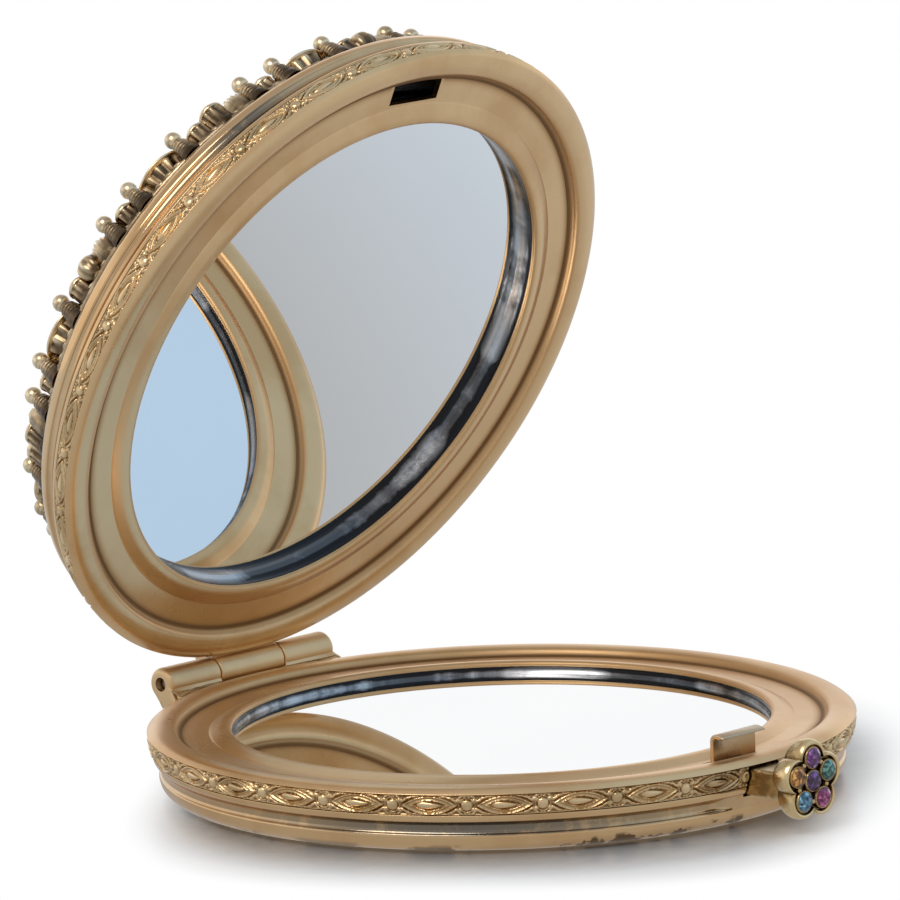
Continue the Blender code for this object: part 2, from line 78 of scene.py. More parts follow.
case = {
    "radius": 35.0,
    "shutTop": 13.9,          # outside of the lid when shut
    "segments": 256,
    "hingeY": 36.2,
    "hingeZ": 7.14,
}
joints = {joint["name"]: joint for joint in frame["joints"]}
openAngle = math.radians(abs(joints["lid_hinge"]["range_deg"][0]))
hingeSpot = np.array([0.0, case["hingeY"], case["hingeZ"]])


# Placing and making meshes

def openLid(points):
    # turns shut-lid points about the hinge pin by the opening angle, from +Z towards +Y
    c, s = math.cos(openAngle), math.sin(openAngle)
    turn = np.array([[1, 0, 0], [0, c, s], [0, -s, c]])
    return (points - hingeSpot) @ turn.T + hingeSpot


def lidPlace(points):
    # mirrors a base shape in the parting plane, so that it lies in the lid, and opens the lid
    return openLid(points * [1, 1, -1] + [0, 0, case["shutTop"]])


def same(points):
    return points


places = {"base": same, "lid": lidPlace}


def around(count):
    # evenly spaced angles over one full turn
    return np.linspace(0, 2 * math.pi, count, endpoint=False)


def bump(distance, width):
    # a bell curve: one at no distance, falling off over the width
    return np.exp(-((distance / width) ** 2))


def turned(angle, middle):
    # signed angle from the middle, between half a turn back and half a turn on
    return (angle - middle + math.pi) % (2 * math.pi) - math.pi


def polar(radius, angle, height=0.0):
    return np.array([radius * math.cos(angle), radius * math.sin(angle), height])


def gridQuads(rows, columns, wrapRows=False, wrapColumns=False):
    # corner numbers of the quads of a rows x columns grid of points
    i = np.arange(rows if wrapRows else rows - 1)
    j = np.arange(columns if wrapColumns else columns - 1)
    a, b = np.meshgrid(i, j, indexing="ij")
    c, d = (a + 1) % rows, (b + 1) % columns
    corners = (a * columns + b, c * columns + b, c * columns + d, a * columns + d)
    return np.stack(corners, -1).reshape(-1, 4)


def joined(parts):
    # several (points, quads) shapes as one
    start, points, quads = 0, [], []
    for p, q in parts:
        points.append(p)
        quads.append(q + start)
        start += len(p)
    return np.concatenate(points), np.concatenate(quads)


def moved(shape, offset=(0, 0, 0), turn=0.0, stretch=(1, 1, 1)):
    # a copy stretched, turned about Z and shifted
    points, quads = shape
    c, s = math.cos(turn), math.sin(turn)
    spin = np.array([[c, -s, 0], [s, c, 0], [0, 0, 1]])
    return (points * stretch) @ spin.T + np.array(offset, float), quads


def softened(corners, steps):
    # rounds the corners of a closed outline of (across, up, reach) corners: a quadratic curve
    # from a point before each corner to one after it, at most reach and 0.48 of the side away
    table = np.array(corners, float)
    p, reach = table[:, :2], table[:, 2:]
    before, after = np.roll(p, 1, 0) - p, np.roll(p, -1, 0) - p
    lengthBefore = np.linalg.norm(before, axis=1)[:, None]
    lengthAfter = np.linalg.norm(after, axis=1)[:, None]
    a = p + before / lengthBefore * np.minimum(reach, 0.48 * lengthBefore)
    b = p + after / lengthAfter * np.minimum(reach, 0.48 * lengthAfter)
    t = np.linspace(0, 1, steps)[None, :, None]
    curve = (1 - t) ** 2 * a[:, None] + 2 * t * (1 - t) * p[:, None] + t**2 * b[:, None]
    return curve.reshape(-1, 2)


def onAxis(bottom, outline, top):
    # the outline with its two ends drawn in to the axis
    return np.concatenate([[(0, bottom)], outline, [(0, top)]])


def wrapped(reach, angle, level):
    # a grid of points round Z: x = R cos u, y = R sin u, z = level
    reach, level = np.broadcast_arrays(reach, level)
    u = angle[:, None]
    return np.stack([reach * np.cos(u), reach * np.sin(u), level], -1)


def revolved(outline, segments, closed=False, ribs=0, depth=0.0, ribbed=0.0):
    # a (radius, height) outline turned about Z; it is closed, or starts and ends on the axis;
    # where ribbed is 1 the radius swells and shrinks by depth, as cos(ribs u)
    u = around(segments)
    reach = outline[:, 0] * (1 + depth * np.cos(ribs * u)[:, None] * ribbed)
    points = wrapped(reach, u, outline[:, 1])
    return points.reshape(-1, 3), gridQuads(segments, len(outline), True, closed)


def swept(ring, start, end):
    # a closed (y, z) ring carried along X, with both ends drawn to its middle
    ring = np.array(ring, float)
    stations = np.array([start, start, end, end])
    middle = ring.mean(0)
    yz = middle + (ring - middle) * np.array([0, 1, 1, 0])[:, None, None]
    x = np.broadcast_to(stations[:, None, None], (4, len(ring), 1))
    return np.concatenate([x, yz], -1).reshape(-1, 3), gridQuads(4, len(ring), False, True)


def boxShape(halfWidth, y0, y1, z0, z1):
    return swept([(y0, z0), (y1, z0), (y1, z1), (y0, z1)], -halfWidth, halfWidth)


def shade(mesh, smooth):
    mesh.shade_smooth()
    mesh.set_sharp_from_angle(angle=math.radians(smooth))


def putMesh(name, shape, finish, place=same, smooth=35, values=None):
    # a mesh object from points in millimetres; doubles are merged and faces turned outwards
    points, quads = shape
    mesh = bpy.data.meshes.new(name)
    mesh.vertices.add(len(points))
    mesh.vertices.foreach_set("co", (place(points) * mm).astype(np.float32).ravel())
    mesh.loops.add(quads.size)
    mesh.loops.foreach_set("vertex_index", quads.astype(np.int32).ravel())
    mesh.polygons.add(len(quads))
    mesh.polygons.foreach_set("loop_start", np.arange(0, quads.size, 4, dtype=np.int32))
    mesh.update(calc_edges=True)
    for key, value in (values or {}).items():
        layer = mesh.attributes.new(key, "FLOAT", "POINT")
        layer.data.foreach_set("value", value.astype(np.float32).ravel())
    work = bmesh.new()
    work.from_mesh(mesh)
    bmesh.ops.remove_doubles(work, verts=work.verts, dist=2e-7)
    bmesh.ops.recalc_face_normals(work, faces=work.faces)
    work.to_mesh(mesh)
    work.free()
    piece = bpy.data.objects.new(name, mesh)
    scene.collection.objects.link(piece)
    mesh.materials.append(materials[finish])
    shade(mesh, smooth)
    return piece


def cutter(shape, place=same):
    tool = putMesh("cutter", shape, "shellGold", place)
    tool.hide_render = True
    return tool


def cutWith(piece, cutters, smooth):
    # takes the cutters out of the piece for good and sharpens the new edges
    for tool in cutters:
        step = piece.modifiers.new("cut", "BOOLEAN")
        step.operation = "DIFFERENCE"
        step.solver = "EXACT"
        step.object = tool
    graph = bpy.context.evaluated_depsgraph_get()
    mesh = bpy.data.meshes.new_from_object(piece.evaluated_get(graph))
    piece.modifiers.clear()
    old = piece.data
    piece.data = mesh
    mesh.name = piece.name
    bpy.data.meshes.remove(old)
    shade(mesh, smooth)


def settle(piece, body, node):
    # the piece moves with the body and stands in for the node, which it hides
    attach(piece, body)
    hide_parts(node)


def addPiece(name, shape, finish, body, node, place=same, smooth=35, values=None, cutters=()):
    piece = putMesh(name, shape, finish, place, smooth, values)
    if cutters:
        cutWith(piece, cutters, smooth)
    settle(piece, body, node)
    return piece


# Shader nodes and groups

def addNode(tree, kind, links=None, **settings):
    # a shader node with its settings, and its inputs linked or set
    node = tree.nodes.new("ShaderNode" + kind)
    for key, value in settings.items():
        setattr(node, key, value)
    for key, value in (links or {}).items():
        if isinstance(value, bpy.types.NodeSocket):
            tree.links.new(value, node.inputs[key])
        else:
            node.inputs[key].default_value = value
    return node


def calculate(tree, operation, *values, clamp=False):
    links = dict(enumerate(values))
    return addNode(tree, "Math", links, operation=operation, use_clamp=clamp).outputs[0]


def vectorMath(tree, operation, *values, output="Vector"):
    links = dict(enumerate(values))
    return addNode(tree, "VectorMath", links, operation=operation).outputs[output]


def mapped(tree, value, low, high, toLow=0.0, toHigh=1.0, smooth=False):
    # carries low to high over to toLow to toHigh
    links = {"Value": value, "From Min": low, "From Max": high, "To Min": toLow, "To Max": toHigh}
    kind = "SMOOTHSTEP" if smooth else "LINEAR"
    return addNode(tree, "MapRange", links, interpolation_type=kind).outputs["Result"]


def mixColours(tree, factor, first, second, blend="MIX"):
    # both colours are sockets or fixed colours
    ends = [end if isinstance(end, bpy.types.NodeSocket) else (*end, 1) for end in (first, second)]
    links = {0: factor, 6: ends[0], 7: ends[1]}
    return addNode(tree, "Mix", links, data_type="RGBA", blend_type=blend).outputs[2]


def ramp(tree, factor, stops):
    # a colour ramp through (place, colour) stops
    node = addNode(tree, "ValToRGB", {"Fac": factor})
    bar = node.color_ramp.elements
    while len(bar) < len(stops):
        bar.new(0.5)
    for element, (spot, colour) in zip(bar, stops):
        element.position = spot
        element.color = (*colour, 1)
    return node.outputs["Color"]


def noiseOn(tree, scale, detail, roughness=0.5):
    # noise that is fixed to the piece
    place = addNode(tree, "TexCoord").outputs["Object"]
    links = {"Vector": place, "Scale": scale, "Detail": detail, "Roughness": roughness}
    return addNode(tree, "TexNoise", links).outputs["Fac"]


def attributeValue(tree, name):
    return addNode(tree, "Attribute", attribute_name=name).outputs["Fac"]


def newGroup(name, inputs, outputs):
    group = bpy.data.node_groups.new(name, "ShaderNodeTree")
    for label, value in inputs.items():
        socket = group.interface.new_socket(label, in_out="INPUT", socket_type="NodeSocketFloat")
        socket.default_value = value
    for label in outputs:
        group.interface.new_socket(label, in_out="OUTPUT", socket_type="NodeSocketFloat")
    return group, group.nodes.new("NodeGroupInput"), group.nodes.new("NodeGroupOutput")


def makeGrainGroup():
    # fine brushed or cast grain: a height for bump and a roughness that wanders
    sizes = {"Scale": 900.0, "Roughness": 0.3, "Spread": 0.06}
    tree, given, result = newGroup("fineGrain", sizes, ("Height", "Roughness"))
    fine = noiseOn(tree, given.outputs["Scale"], 4.0)
    broad = calculate(tree, "SUBTRACT", noiseOn(tree, 90.0, 3.0), 0.5)
    spread = calculate(tree, "MULTIPLY", broad, given.outputs["Spread"])
    total = calculate(tree, "MULTIPLY_ADD", spread, 4.0, given.outputs["Roughness"])
    tree.links.new(fine, result.inputs["Height"])
    tree.links.new(total, result.inputs["Roughness"])
    return tree


def makeWearGroup():
    # a mask of ragged patches
    tree, given, result = newGroup("platingWear", {"Scale": 60.0, "Low": 0.5, "High": 0.7}, ("Mask",))
    noise = noiseOn(tree, given.outputs["Scale"], 6.0, 0.62)
    mask = mapped(tree, noise, given.outputs["Low"], given.outputs["High"], smooth=True)
    tree.links.new(mask, result.inputs["Mask"])
    return tree


grainGroup = makeGrainGroup()
wearGroup = makeWearGroup()


def wearMask(tree, scale, low, high):
    links = {"Scale": scale, "Low": low, "High": high}
    return addNode(tree, "Group", links, node_tree=wearGroup).outputs["Mask"]


def newMaterial(name, **sockets):
    made = bpy.data.materials.new(name)
    made.use_nodes = True
    shader = made.node_tree.nodes["Principled BSDF"]
    for key, value in sockets.items():
        shader.inputs[key.replace("_", " ")].default_value = value
    return made, made.node_tree, shader


def linkBump(tree, shader, height, strength, distance):
    bumps = addNode(tree, "Bump", {"Height": height, "Strength": strength, "Distance": distance})
    tree.links.new(bumps.outputs["Normal"], shader.inputs["Normal"])


def finishMetal(tree, shader, colour, grain, bumps=None, height=None, duller=()):
    # colour, wandering roughness and a fine grain; grain is (scale, roughness, spread), bumps
    # is (strength, distance), and duller lists masks with what each adds to the roughness
    links = dict(zip(("Scale", "Roughness", "Spread"), grain))
    group = addNode(tree, "Group", links, node_tree=grainGroup)
    rough = group.outputs["Roughness"]
    for mask, amount in duller:
        rough = calculate(tree, "MULTIPLY_ADD", mask, amount, rough)
    tree.links.new(colour, shader.inputs["Base Color"])
    tree.links.new(rough, shader.inputs["Roughness"])
    if bumps:
        linkBump(tree, shader, group.outputs["Height"] if height is None else height, *bumps)


# Materials

satinLook = {
    "colour": (0.79, 0.53, 0.28), "second": (0.68, 0.42, 0.20), "patches": (55.0, 0.42, 0.66),
    "grain": (2600.0, 0.30, 0.05), "bumps": (0.16, 0.00004),
}


def plated(tree, look):
    # two tones of plating mixed in patches
    return mixColours(tree, wearMask(tree, *look["patches"]), look["colour"], look["second"])


def plainMetal(name, **changes):
    look = dict(satinLook, **changes)
    made, tree, shader = newMaterial(name, Metallic=1.0)
    finishMetal(tree, shader, plated(tree, look), look["grain"], look["bumps"])
    return made


def shellMaterial():
    # satin gold, polished on the side; dark patches along the foot, partly rubbed-through
    # plating and partly painted shade, a painted dark reflection in the side's cove and painted shade beside
    # the bead
    made, tree, shader = newMaterial("shellGold", Metallic=1.0)
    creaseShade, polish = attributeValue(tree, "creaseShade"), attributeValue(tree, "polish")
    # dark ragged patches along the foot: rubbed-through plating and painted shade, strongest left of the
    # latch
    patch = calculate(tree, "MULTIPLY_ADD", wearMask(tree, 150.0, 0.51, 0.57), 1.3, 0.28)
    edged = calculate(tree, "MULTIPLY", patch, attributeValue(tree, "wornAndShaded"))
    bare = calculate(tree, "SUBTRACT", edged, 0.08, clamp=True)
    # painted reflection: a dark grey sheet in the cove, broken by lighter specks of painted glint
    coveGlints = calculate(tree, "MULTIPLY_ADD", wearMask(tree, 420.0, 0.50, 0.62), -0.38, 0.92)
    coveReflection = calculate(tree, "MULTIPLY", coveGlints, attributeValue(tree, "paintedCoveReflection"), clamp=True)
    colour = mixColours(tree, bare, plated(tree, satinLook), (0.17, 0.10, 0.05))
    colour = mixColours(tree, coveReflection, colour, (0.21, 0.19, 0.155))
    # painted shade: deep brown in the crease beside the bead
    deep = ramp(tree, creaseShade, [(0.35, (0.56, 0.32, 0.14)), (1.0, (0.25, 0.13, 0.05))])
    colour = mixColours(tree, creaseShade, colour, deep)
    duller = ((bare, 0.20), (polish, -0.15), (creaseShade, 0.30))
    finishMetal(tree, shader, colour, (2600.0, 0.30, 0.06), (0.14, 0.00004), duller=duller)
    return made


def embossedMaterial():
    # gold by the relief attribute: a painted highlight on the raised pattern and painted shade, brown, in
    # the ground
    made, tree, shader = newMaterial("embossedGold", Metallic=1.0)
    colour = ramp(tree, attributeValue(tree, "relief"), [
        (0.0, (0.34, 0.21, 0.10)), (0.28, (0.56, 0.38, 0.19)), (0.6, (0.78, 0.55, 0.30)),
        (1.0, (0.86, 0.65, 0.38)),
    ])
    wear = mixColours(tree, wearMask(tree, 240.0, 0.45, 0.68), (1, 1, 1), (0.72, 0.68, 0.62))
    colour = mixColours(tree, 1.0, colour, wear, "MULTIPLY")
    finishMetal(tree, shader, colour, (3000.0, 0.27, 0.05), (0.15, 0.00003))
    return made


# metals whose colour follows a ramp over an attribute that holds painted shade, with some wear added to it
rampedLooks = {
    # dark in the hollows and warm metal on the raised parts: partly oxide and rubbed wear, partly painted
    # shade and highlight
    "antiqueGold": {
        "by": "rub", "patches": (420.0, 0.35, 0.70), "wear": 0.34,
        "stops": [
            (0.0, (0.035, 0.022, 0.012)), (0.34, (0.17, 0.115, 0.065)), (0.64, (0.50, 0.37, 0.22)),
            (0.92, (0.86, 0.69, 0.46)),
        ],
        "grain": (1500.0, 0.29, 0.08), "bumps": (0.35, 0.00006),
    },
    # warm gold with painted shade, brown to black, in the hollows between the petals and in the tray
    "flowerGold": {
        "by": "rub", "patches": (700.0, 0.40, 0.68), "wear": 0.30,
        "stops": [(0.0, (0.06, 0.035, 0.015)), (0.40, (0.40, 0.28, 0.13)), (0.8, (0.80, 0.60, 0.32))],
        "grain": (1600.0, 0.24, 0.06), "bumps": (0.25, 0.00005),
    },
    # bright metal with painted black shade in the hollow under the lip and in ragged patches
    "nickel": {
        "by": "groove", "patches": (130.0, 0.42, 0.62), "wear": 0.60,
        "stops": [(0.2, (0.60, 0.60, 0.61)), (0.55, (0.27, 0.27, 0.28)), (1.0, (0.025, 0.025, 0.027))],
        "grain": (2000.0, 0.25, 0.05), "bumps": (0.06, 0.00003),
    },
}


def rampedMetal(name):
    look = rampedLooks[name]
    made, tree, shader = newMaterial(name, Metallic=1.0)
    mask = wearMask(tree, *look["patches"])
    total = calculate(tree, "MULTIPLY_ADD", mask, look["wear"], attributeValue(tree, look["by"]), clamp=True)
    finishMetal(tree, shader, ramp(tree, total, look["stops"]), look["grain"], look["bumps"])
    return made


def rubbedMaterial():
    # satin gold that is rubbed to grey metal in patches, by the bare attribute
    made, tree, shader = newMaterial("rubbedGold", Metallic=1.0)
    mask = wearMask(tree, 500.0, 0.42, 0.58)
    part = calculate(tree, "MULTIPLY_ADD", mask, 0.45, 0.55)
    total = calculate(tree, "MULTIPLY", part, attributeValue(tree, "bare"), clamp=True)
    colour = mixColours(tree, total, (0.58, 0.40, 0.23), (0.56, 0.45, 0.31))
    finishMetal(tree, shader, colour, (1800.0, 0.26, 0.08), (0.25, 0.00004), mask)
    return made


def gemMaterial(name, deep, bright):
    # foiled glass with painted reflections: each facet takes its own tone between deep and bright, with fine
    # specks of painted glint
    made, tree, shader = newMaterial(
        name, Metallic=0.55, Roughness=0.06, Coat_Weight=1.0, Coat_Roughness=0.02
    )
    glintSpecks = calculate(tree, "MULTIPLY_ADD", noiseOn(tree, 2600.0, 3.0), 1.5, -0.52)
    total = calculate(tree, "MULTIPLY_ADD", attributeValue(tree, "facetReflection"), 0.72, glintSpecks)
    middle = tuple((a + b) / 2 for a, b in zip(deep, bright))
    dark = tuple(0.12 * c for c in deep)
    colour = ramp(tree, total, [(0.12, dark), (0.48, deep), (0.80, middle), (1.0, bright)])
    tree.links.new(colour, shader.inputs["Base Color"])
    return made


def mirrorMaterial():
    # silvered glass, with painted black shade on its rim where the frame covers it
    made, tree, shader = newMaterial("mirrorGlass", Metallic=1.0)
    rimShade = attributeValue(tree, "rimShade")
    silver = mixColours(tree, wearMask(tree, 30.0, 0.3, 0.7), (0.93, 0.945, 0.95), (0.91, 0.93, 0.94))
    colour = mixColours(tree, rimShade, silver, (0.01, 0.01, 0.01))
    finishMetal(tree, shader, colour, (60.0, 0.012, 0.003), duller=((rimShade, 0.50),))
    return made


def feltMaterial():
    made, tree, shader = newMaterial("backingFelt", Roughness=0.95, Sheen_Weight=0.3)
    noise = noiseOn(tree, 1800.0, 5.0)
    colour = ramp(tree, noise, [(0.3, (0.02, 0.02, 0.02)), (0.7, (0.06, 0.06, 0.06))])
    tree.links.new(colour, shader.inputs["Base Color"])
    linkBump(tree, shader, noise, 0.5, 0.0001)
    return made


def darker(colour):
    return tuple(0.82 * c for c in colour)


hingeColour, steelColour = (0.76, 0.53, 0.29), (0.40, 0.39, 0.38)
materials = {
    "shellGold": shellMaterial(),
    "embossedGold": embossedMaterial(),
    "rubbedGold": rubbedMaterial(),
    "mirrorGlass": mirrorMaterial(),
    "backingFelt": feltMaterial(),
    "polishedGold": plainMetal(
        "polishedGold", colour=(0.70, 0.50, 0.27), second=(0.52, 0.36, 0.19), grain=(2600.0, 0.20, 0.05),
        bumps=(0.08, 0.00004),
    ),
    "hingeGold": plainMetal(
        "hingeGold", colour=hingeColour, second=darker(hingeColour), grain=(2000.0, 0.40, 0.05),
        bumps=(0.20, 0.00004),
    ),
    "steel": plainMetal(
        "steel", colour=steelColour, second=darker(steelColour), grain=(2000.0, 0.34, 0.05),
        bumps=(0.20, 0.00004),
    ),
}
for name in rampedLooks:
    materials[name] = rampedMetal(name)
for name, deep, bright in (
    ("amethyst", (0.045, 0.008, 0.065), (0.26, 0.10, 0.36)),
    ("violet", (0.14, 0.02, 0.16), (0.62, 0.26, 0.66)),
    ("topaz", (0.42, 0.13, 0.01), (0.95, 0.52, 0.12)),
    ("aquamarine", (0.04, 0.15, 0.24), (0.36, 0.68, 0.86)),
    ("ruby", (0.2, 0.01, 0.09), (0.72, 0.16, 0.4)),
    ("emerald", (0.02, 0.11, 0.09), (0.26, 0.56, 0.46)),
    ("crystal", (0.25, 0.21, 0.26), (0.95, 0.90, 0.95)),
):
    materials[name] = gemMaterial(name, deep, bright)


def slotOf(finish):
    # the satin finishes share one slot, and every other slot has the finish's own name
    if finish in ("shellGold", "polishedGold", "hingeGold", "flowerGold", "rubbedGold"):
        return "satin_gold"
    return "".join("_" + letter.lower() if letter.isupper() else letter for letter in finish)


slotNames = {made.name: slotOf(finish) for finish, made in materials.items()}
print("materials made:", len(materials))


# Shells

shellLook = {
    "segments": 384,
    # (radius, height, rounding) down the moulded side from the band's seat to the flat
    "side": [
        (34.46, 4.02, 0.06), (34.44, 3.70, 0.20), (34.18, 3.34, 0.30), (33.86, 3.14, 0.20),
        (33.60, 2.80, 0.30),
        (33.54, 2.36, 0.22), (33.66, 2.10, 0.10), (33.84, 2.00, 0.10), (33.88, 1.74, 0.20),
        (33.66, 0.95, 0.7),
        (32.90, 0.32, 0.5), (31.40, 0.00, 0.35),
    ],
    "floor": 0.80,            # height of the floor inside
    "boss": (3.4, 5.6),       # the cove fills up between these distances from the latch
    "bossRadius": 34.02,
    "inside": [(31.0, 0.80, 0.5), (32.60, 2.60, 0.8), (33.4, 4.02, 0.2), (33.4, 5.45, 0.05)],
    # the rolled bead round the parting line
    "bead": [
        (31.75, 5.45, 0.05), (31.75, 5.76, 0.03), (31.46, 5.80, 0.03), (31.46, 5.88, 0.03),
        (31.95, 5.98, 0.40),
        (32.22, 6.56, 0.45), (33.25, 6.80, 0.9), (34.35, 6.66, 0.6), (34.98, 6.12, 0.10), (34.2, 6.10, 0.03),
        (34.2, 4.02, 0.03),
    ],
    "corner": 7,              # points in each rounded corner
}


def shellShape(boss):
    # the outline turned about Z; with a boss, the cove swells out to the boss radius at -Y
    look = shellLook
    outline = softened(look["inside"] + look["bead"] + look["side"], look["corner"])
    outline = onAxis(look["floor"], outline, 0.0)
    r, z = outline[:, 0], outline[:, 1]
    inside = np.arange(len(r)) < 1 + look["corner"] * len(look["inside"])
    cove = np.clip((3.42 - z) / 0.22, 0, 1) * np.clip((z - 1.86) / 0.12, 0, 1) * (r > 33.4)
    # painted shade in the crease beside the bead and over the inside
    filletShade = np.maximum(np.clip((32.50 - r) / 0.8, 0, 1) * (z > 5.7), inside)
    side = ((r > 32.5) & (z < 4.0)).astype(float)
    turns = look["segments"]
    angle = around(turns)
    away = np.abs(case["radius"] * turned(angle, -math.pi / 2))
    near, far = look["boss"]
    fill = np.clip((far - away) / (far - near), 0, 1) if boss else np.zeros(turns)
    fill = fill**2 * (3 - 2 * fill)
    swell = np.clip(look["bossRadius"] - r, 0, 1) * side * (z > 1.8)
    points = wrapped(r + fill[:, None] * swell, angle, z)
    # the painted cove reflection lies mostly on the front left; the foot's wear and painted shade are
    # strongest left of the latch
    front = bump(turned(angle, -2.48), 0.62) if boss else bump(turned(angle, -2.2), 0.20)
    shadedSide = bump(turned(angle, -1.90), 0.45) if boss else np.zeros(turns)
    foot = np.clip((1.10 + 0.5 * shadedSide[:, None] - z) / 0.8, 0, 1) * ((r > 31.8) & ~inside)
    values = {
        "polish": np.tile(side, turns),
        "creaseShade": np.tile(filletShade, turns),
        "paintedCoveReflection": cove * (0.20 + 0.85 * front - 0.15 * fill)[:, None],
        "wornAndShaded": foot * (0.62 + 0.95 * shadedSide)[:, None],
    }
    return (points.reshape(-1, 3), gridQuads(turns, len(r), True, False)), values


def troughShape():
    # the round hollow in both rims in which the hinge's barrels turn
    radius, halfLength = 1.95, 11.9
    ring = [
        (radius * math.cos(a) + case["hingeY"], radius * math.sin(a) + case["hingeZ"])
        for a in around(64)
    ]
    return swept(ring, -halfLength, halfLength)


troughs = {"base": cutter(troughShape()), "lid": cutter(troughShape(), openLid)}
stemWindow = cutter(boxShape(2.1, -36, -31.1, 3.0, 6.105))
for half, extra in (("base", [stemWindow]), ("lid", [])):
    grid, values = shellShape(half == "base")
    cutters = [troughs[half]] + extra
    addPiece(half + "Shell", grid, "shellGold", half, half + "_shell", places[half], 40, values, cutters)
print("shells made")


# Embossed rim bands

bandLook = {
    "repeats": 30,
    "columns": 80,       # grid columns in one repeat
    "rows": 34,
    "low": 4.06,
    "high": 6.08,
    "edge": 0.04,        # the pattern stops this far from both edges
    "phase": 1.37,       # shift of the pattern along the band, as in the photograph
    "inner": 34.30,
    "ground": 34.66,     # radius of the ground between the raised parts, at the top
    "taper": 0.34,       # how far the foot of the band draws in
    "relief": 0.32,
    "boss": 0.58,
    "lens": (2.55, 0.86),
    "innerLens": (1.80, 0.52),
    # (centre, turn, size, height) of the petals and leaves in one quarter round a boss
    "leaves": [
        ((0.70, 0.50), 0.62, (0.32, 0.17), 0.74),
        ((1.18, 0.50), 0.42, (0.46, 0.14), 0.80),
        ((1.62, 0.74), 0.20, (0.46, 0.12), 0.72),
        ((0.62, 0.80), -0.55, (0.34, 0.12), 0.62),
        ((0.20, 0.86), -1.20, (0.20, 0.10), 0.55),
        ((2.20, 0.86), 0.05, (0.40, 0.09), 0.60),
    ],
}


def lensDistance(u, v, size):
    # signed distance to a pointed oval, |v| = W (1 - (u/L)^2), in millimetres
    long, wide = size
    slope = 2 * wide * u / long**2
    return (np.abs(v) - wide * (1 - (u / long) ** 2)) / np.sqrt(1 + slope**2)


def leafBump(u, v, centre, turn, size):
    # a teardrop mound: one at its middle, 0 at its edge
    c, s = math.cos(turn), math.sin(turn)
    a = ((u - centre[0]) * c + (v - centre[1]) * s) / size[0]
    b = (-(u - centre[0]) * s + (v - centre[1]) * c) / (size[1] * (1.15 - 0.5 * np.clip(a, -1, 1)))
    return np.sqrt(np.clip(1 - a**2 - b**2, 0, 1))


def reliefHeight(u, v):
    # u runs along the band from the middle of a boss, v up it; the highest raised part wins
    pitch = 2 * math.pi * case["radius"] / bandLook["repeats"]
    fromBoss = (u + pitch / 2) % pitch - pitch / 2
    fromLens = u % pitch - pitch / 2
    away = np.hypot(fromBoss, v * 1.02)
    outer = lensDistance(fromLens, v, bandLook["lens"])
    inner = lensDistance(fromLens, v, bandLook["innerLens"])
    raised = [
        0.95 * np.sqrt(np.clip(1 - (away / bandLook["boss"]) ** 2.2, 0, 1)),
        0.40 * bump(away - 0.74, 0.07),
        0.92 * bump(outer, 0.115) * (np.abs(fromLens) < 2.75),
        0.70 * bump(inner, 0.085) * (np.abs(fromLens) < 1.95),
        0.30 * (outer < -0.05) * (inner > 0),
        0.95 * leafBump(fromLens, v, (0, 0), 0, (1.25, 0.30)),
        0.45 * bump(np.abs(v) - 0.95, 0.05),
    ]
    for centre, turn, size, rise in bandLook["leaves"]:
        raised.append(rise * leafBump(np.abs(fromBoss), np.abs(v), centre, turn, size))
    return np.maximum.reduce(raised)


def bandShape(gap):
    # outer wall: radius = ground + relief over an angle x height grid; the other three
    # sides of the section are plain rings; a gap is left round -Y for the latch's stem
    look = bandLook
    low, high, ground = look["low"], look["high"], look["ground"]
    count, rows = look["repeats"] * look["columns"], look["rows"]
    side = gap / ground
    angle = np.linspace(side, 2 * math.pi - side, count, endpoint=gap > 0) - math.pi / 2
    z = np.linspace(low + look["edge"], high - look["edge"], rows)
    u, v = np.meshgrid(angle * case["radius"] - look["phase"], z - (low + high) / 2, indexing="ij")
    height = reliefHeight(u, v)
    share = (z - low) / (high - low)
    wall = ground - look["taper"] * (1 - share) ** 2 + look["relief"] * height
    back = np.array([
        (ground - 0.02, high), (look["inner"], high), (look["inner"], low),
        (ground - look["taper"] - 0.04, low),
    ])
    radius = np.concatenate([wall, np.tile(back[:, 0], (count, 1))], 1)
    points = wrapped(radius, angle, np.concatenate([z, back[:, 1]]))
    relief = np.pad(height, ((0, 0), (0, len(back))))
    if gap:
        # each end is closed by a ring drawn to its middle
        middles = np.repeat(points[[0, -1]].mean(1, keepdims=True), points.shape[1], axis=1)
        points = np.concatenate([middles[:1], points, middles[1:]])
        relief = np.pad(relief, ((1, 1), (0, 0)))
    quads = gridQuads(len(points), points.shape[1], gap == 0, True)
    return (points.reshape(-1, 3), quads), {"relief": relief}


for half, gap in (("base", 2.1), ("lid", 0.0)):
    grid, values = bandShape(gap)
    node = half + "_rim_band"
    addPiece(half + "Band", grid, "embossedGold", half, node, places[half], 60, values, [troughs[half]])
print("bands made")


# Inner frames, mirror rings, mirrors

frameLook = {
    # (radius, height, rounding) of the pressed frame: lip, flat annulus, drop and flange
    "outline": [
        (26.76, 5.72, 0.04), (26.58, 5.92, 0.06), (26.60, 6.20, 0.10), (26.86, 6.40, 0.24),
        (27.55, 6.40, 0.50),
        (28.30, 6.10, 0.40), (28.72, 5.92, 0.12), (28.84, 5.84, 0.08), (31.60, 5.84, 0.02),
        (31.62, 5.15, 0.05),
        (33.0, 5.15, 0.03), (33.0, 4.60, 0.03), (30.8, 4.60, 0.05), (30.8, 5.25, 0.05), (28.0, 5.25, 0.03),
        (28.0, 5.72, 0.02),
    ],
    "flat": (29.2, 31.1),     # the flat gets more rings here, so that its painted shade can grow outwards
    "flatLevel": 5.84,
    "creaseShadeFrom": 30.5,
}


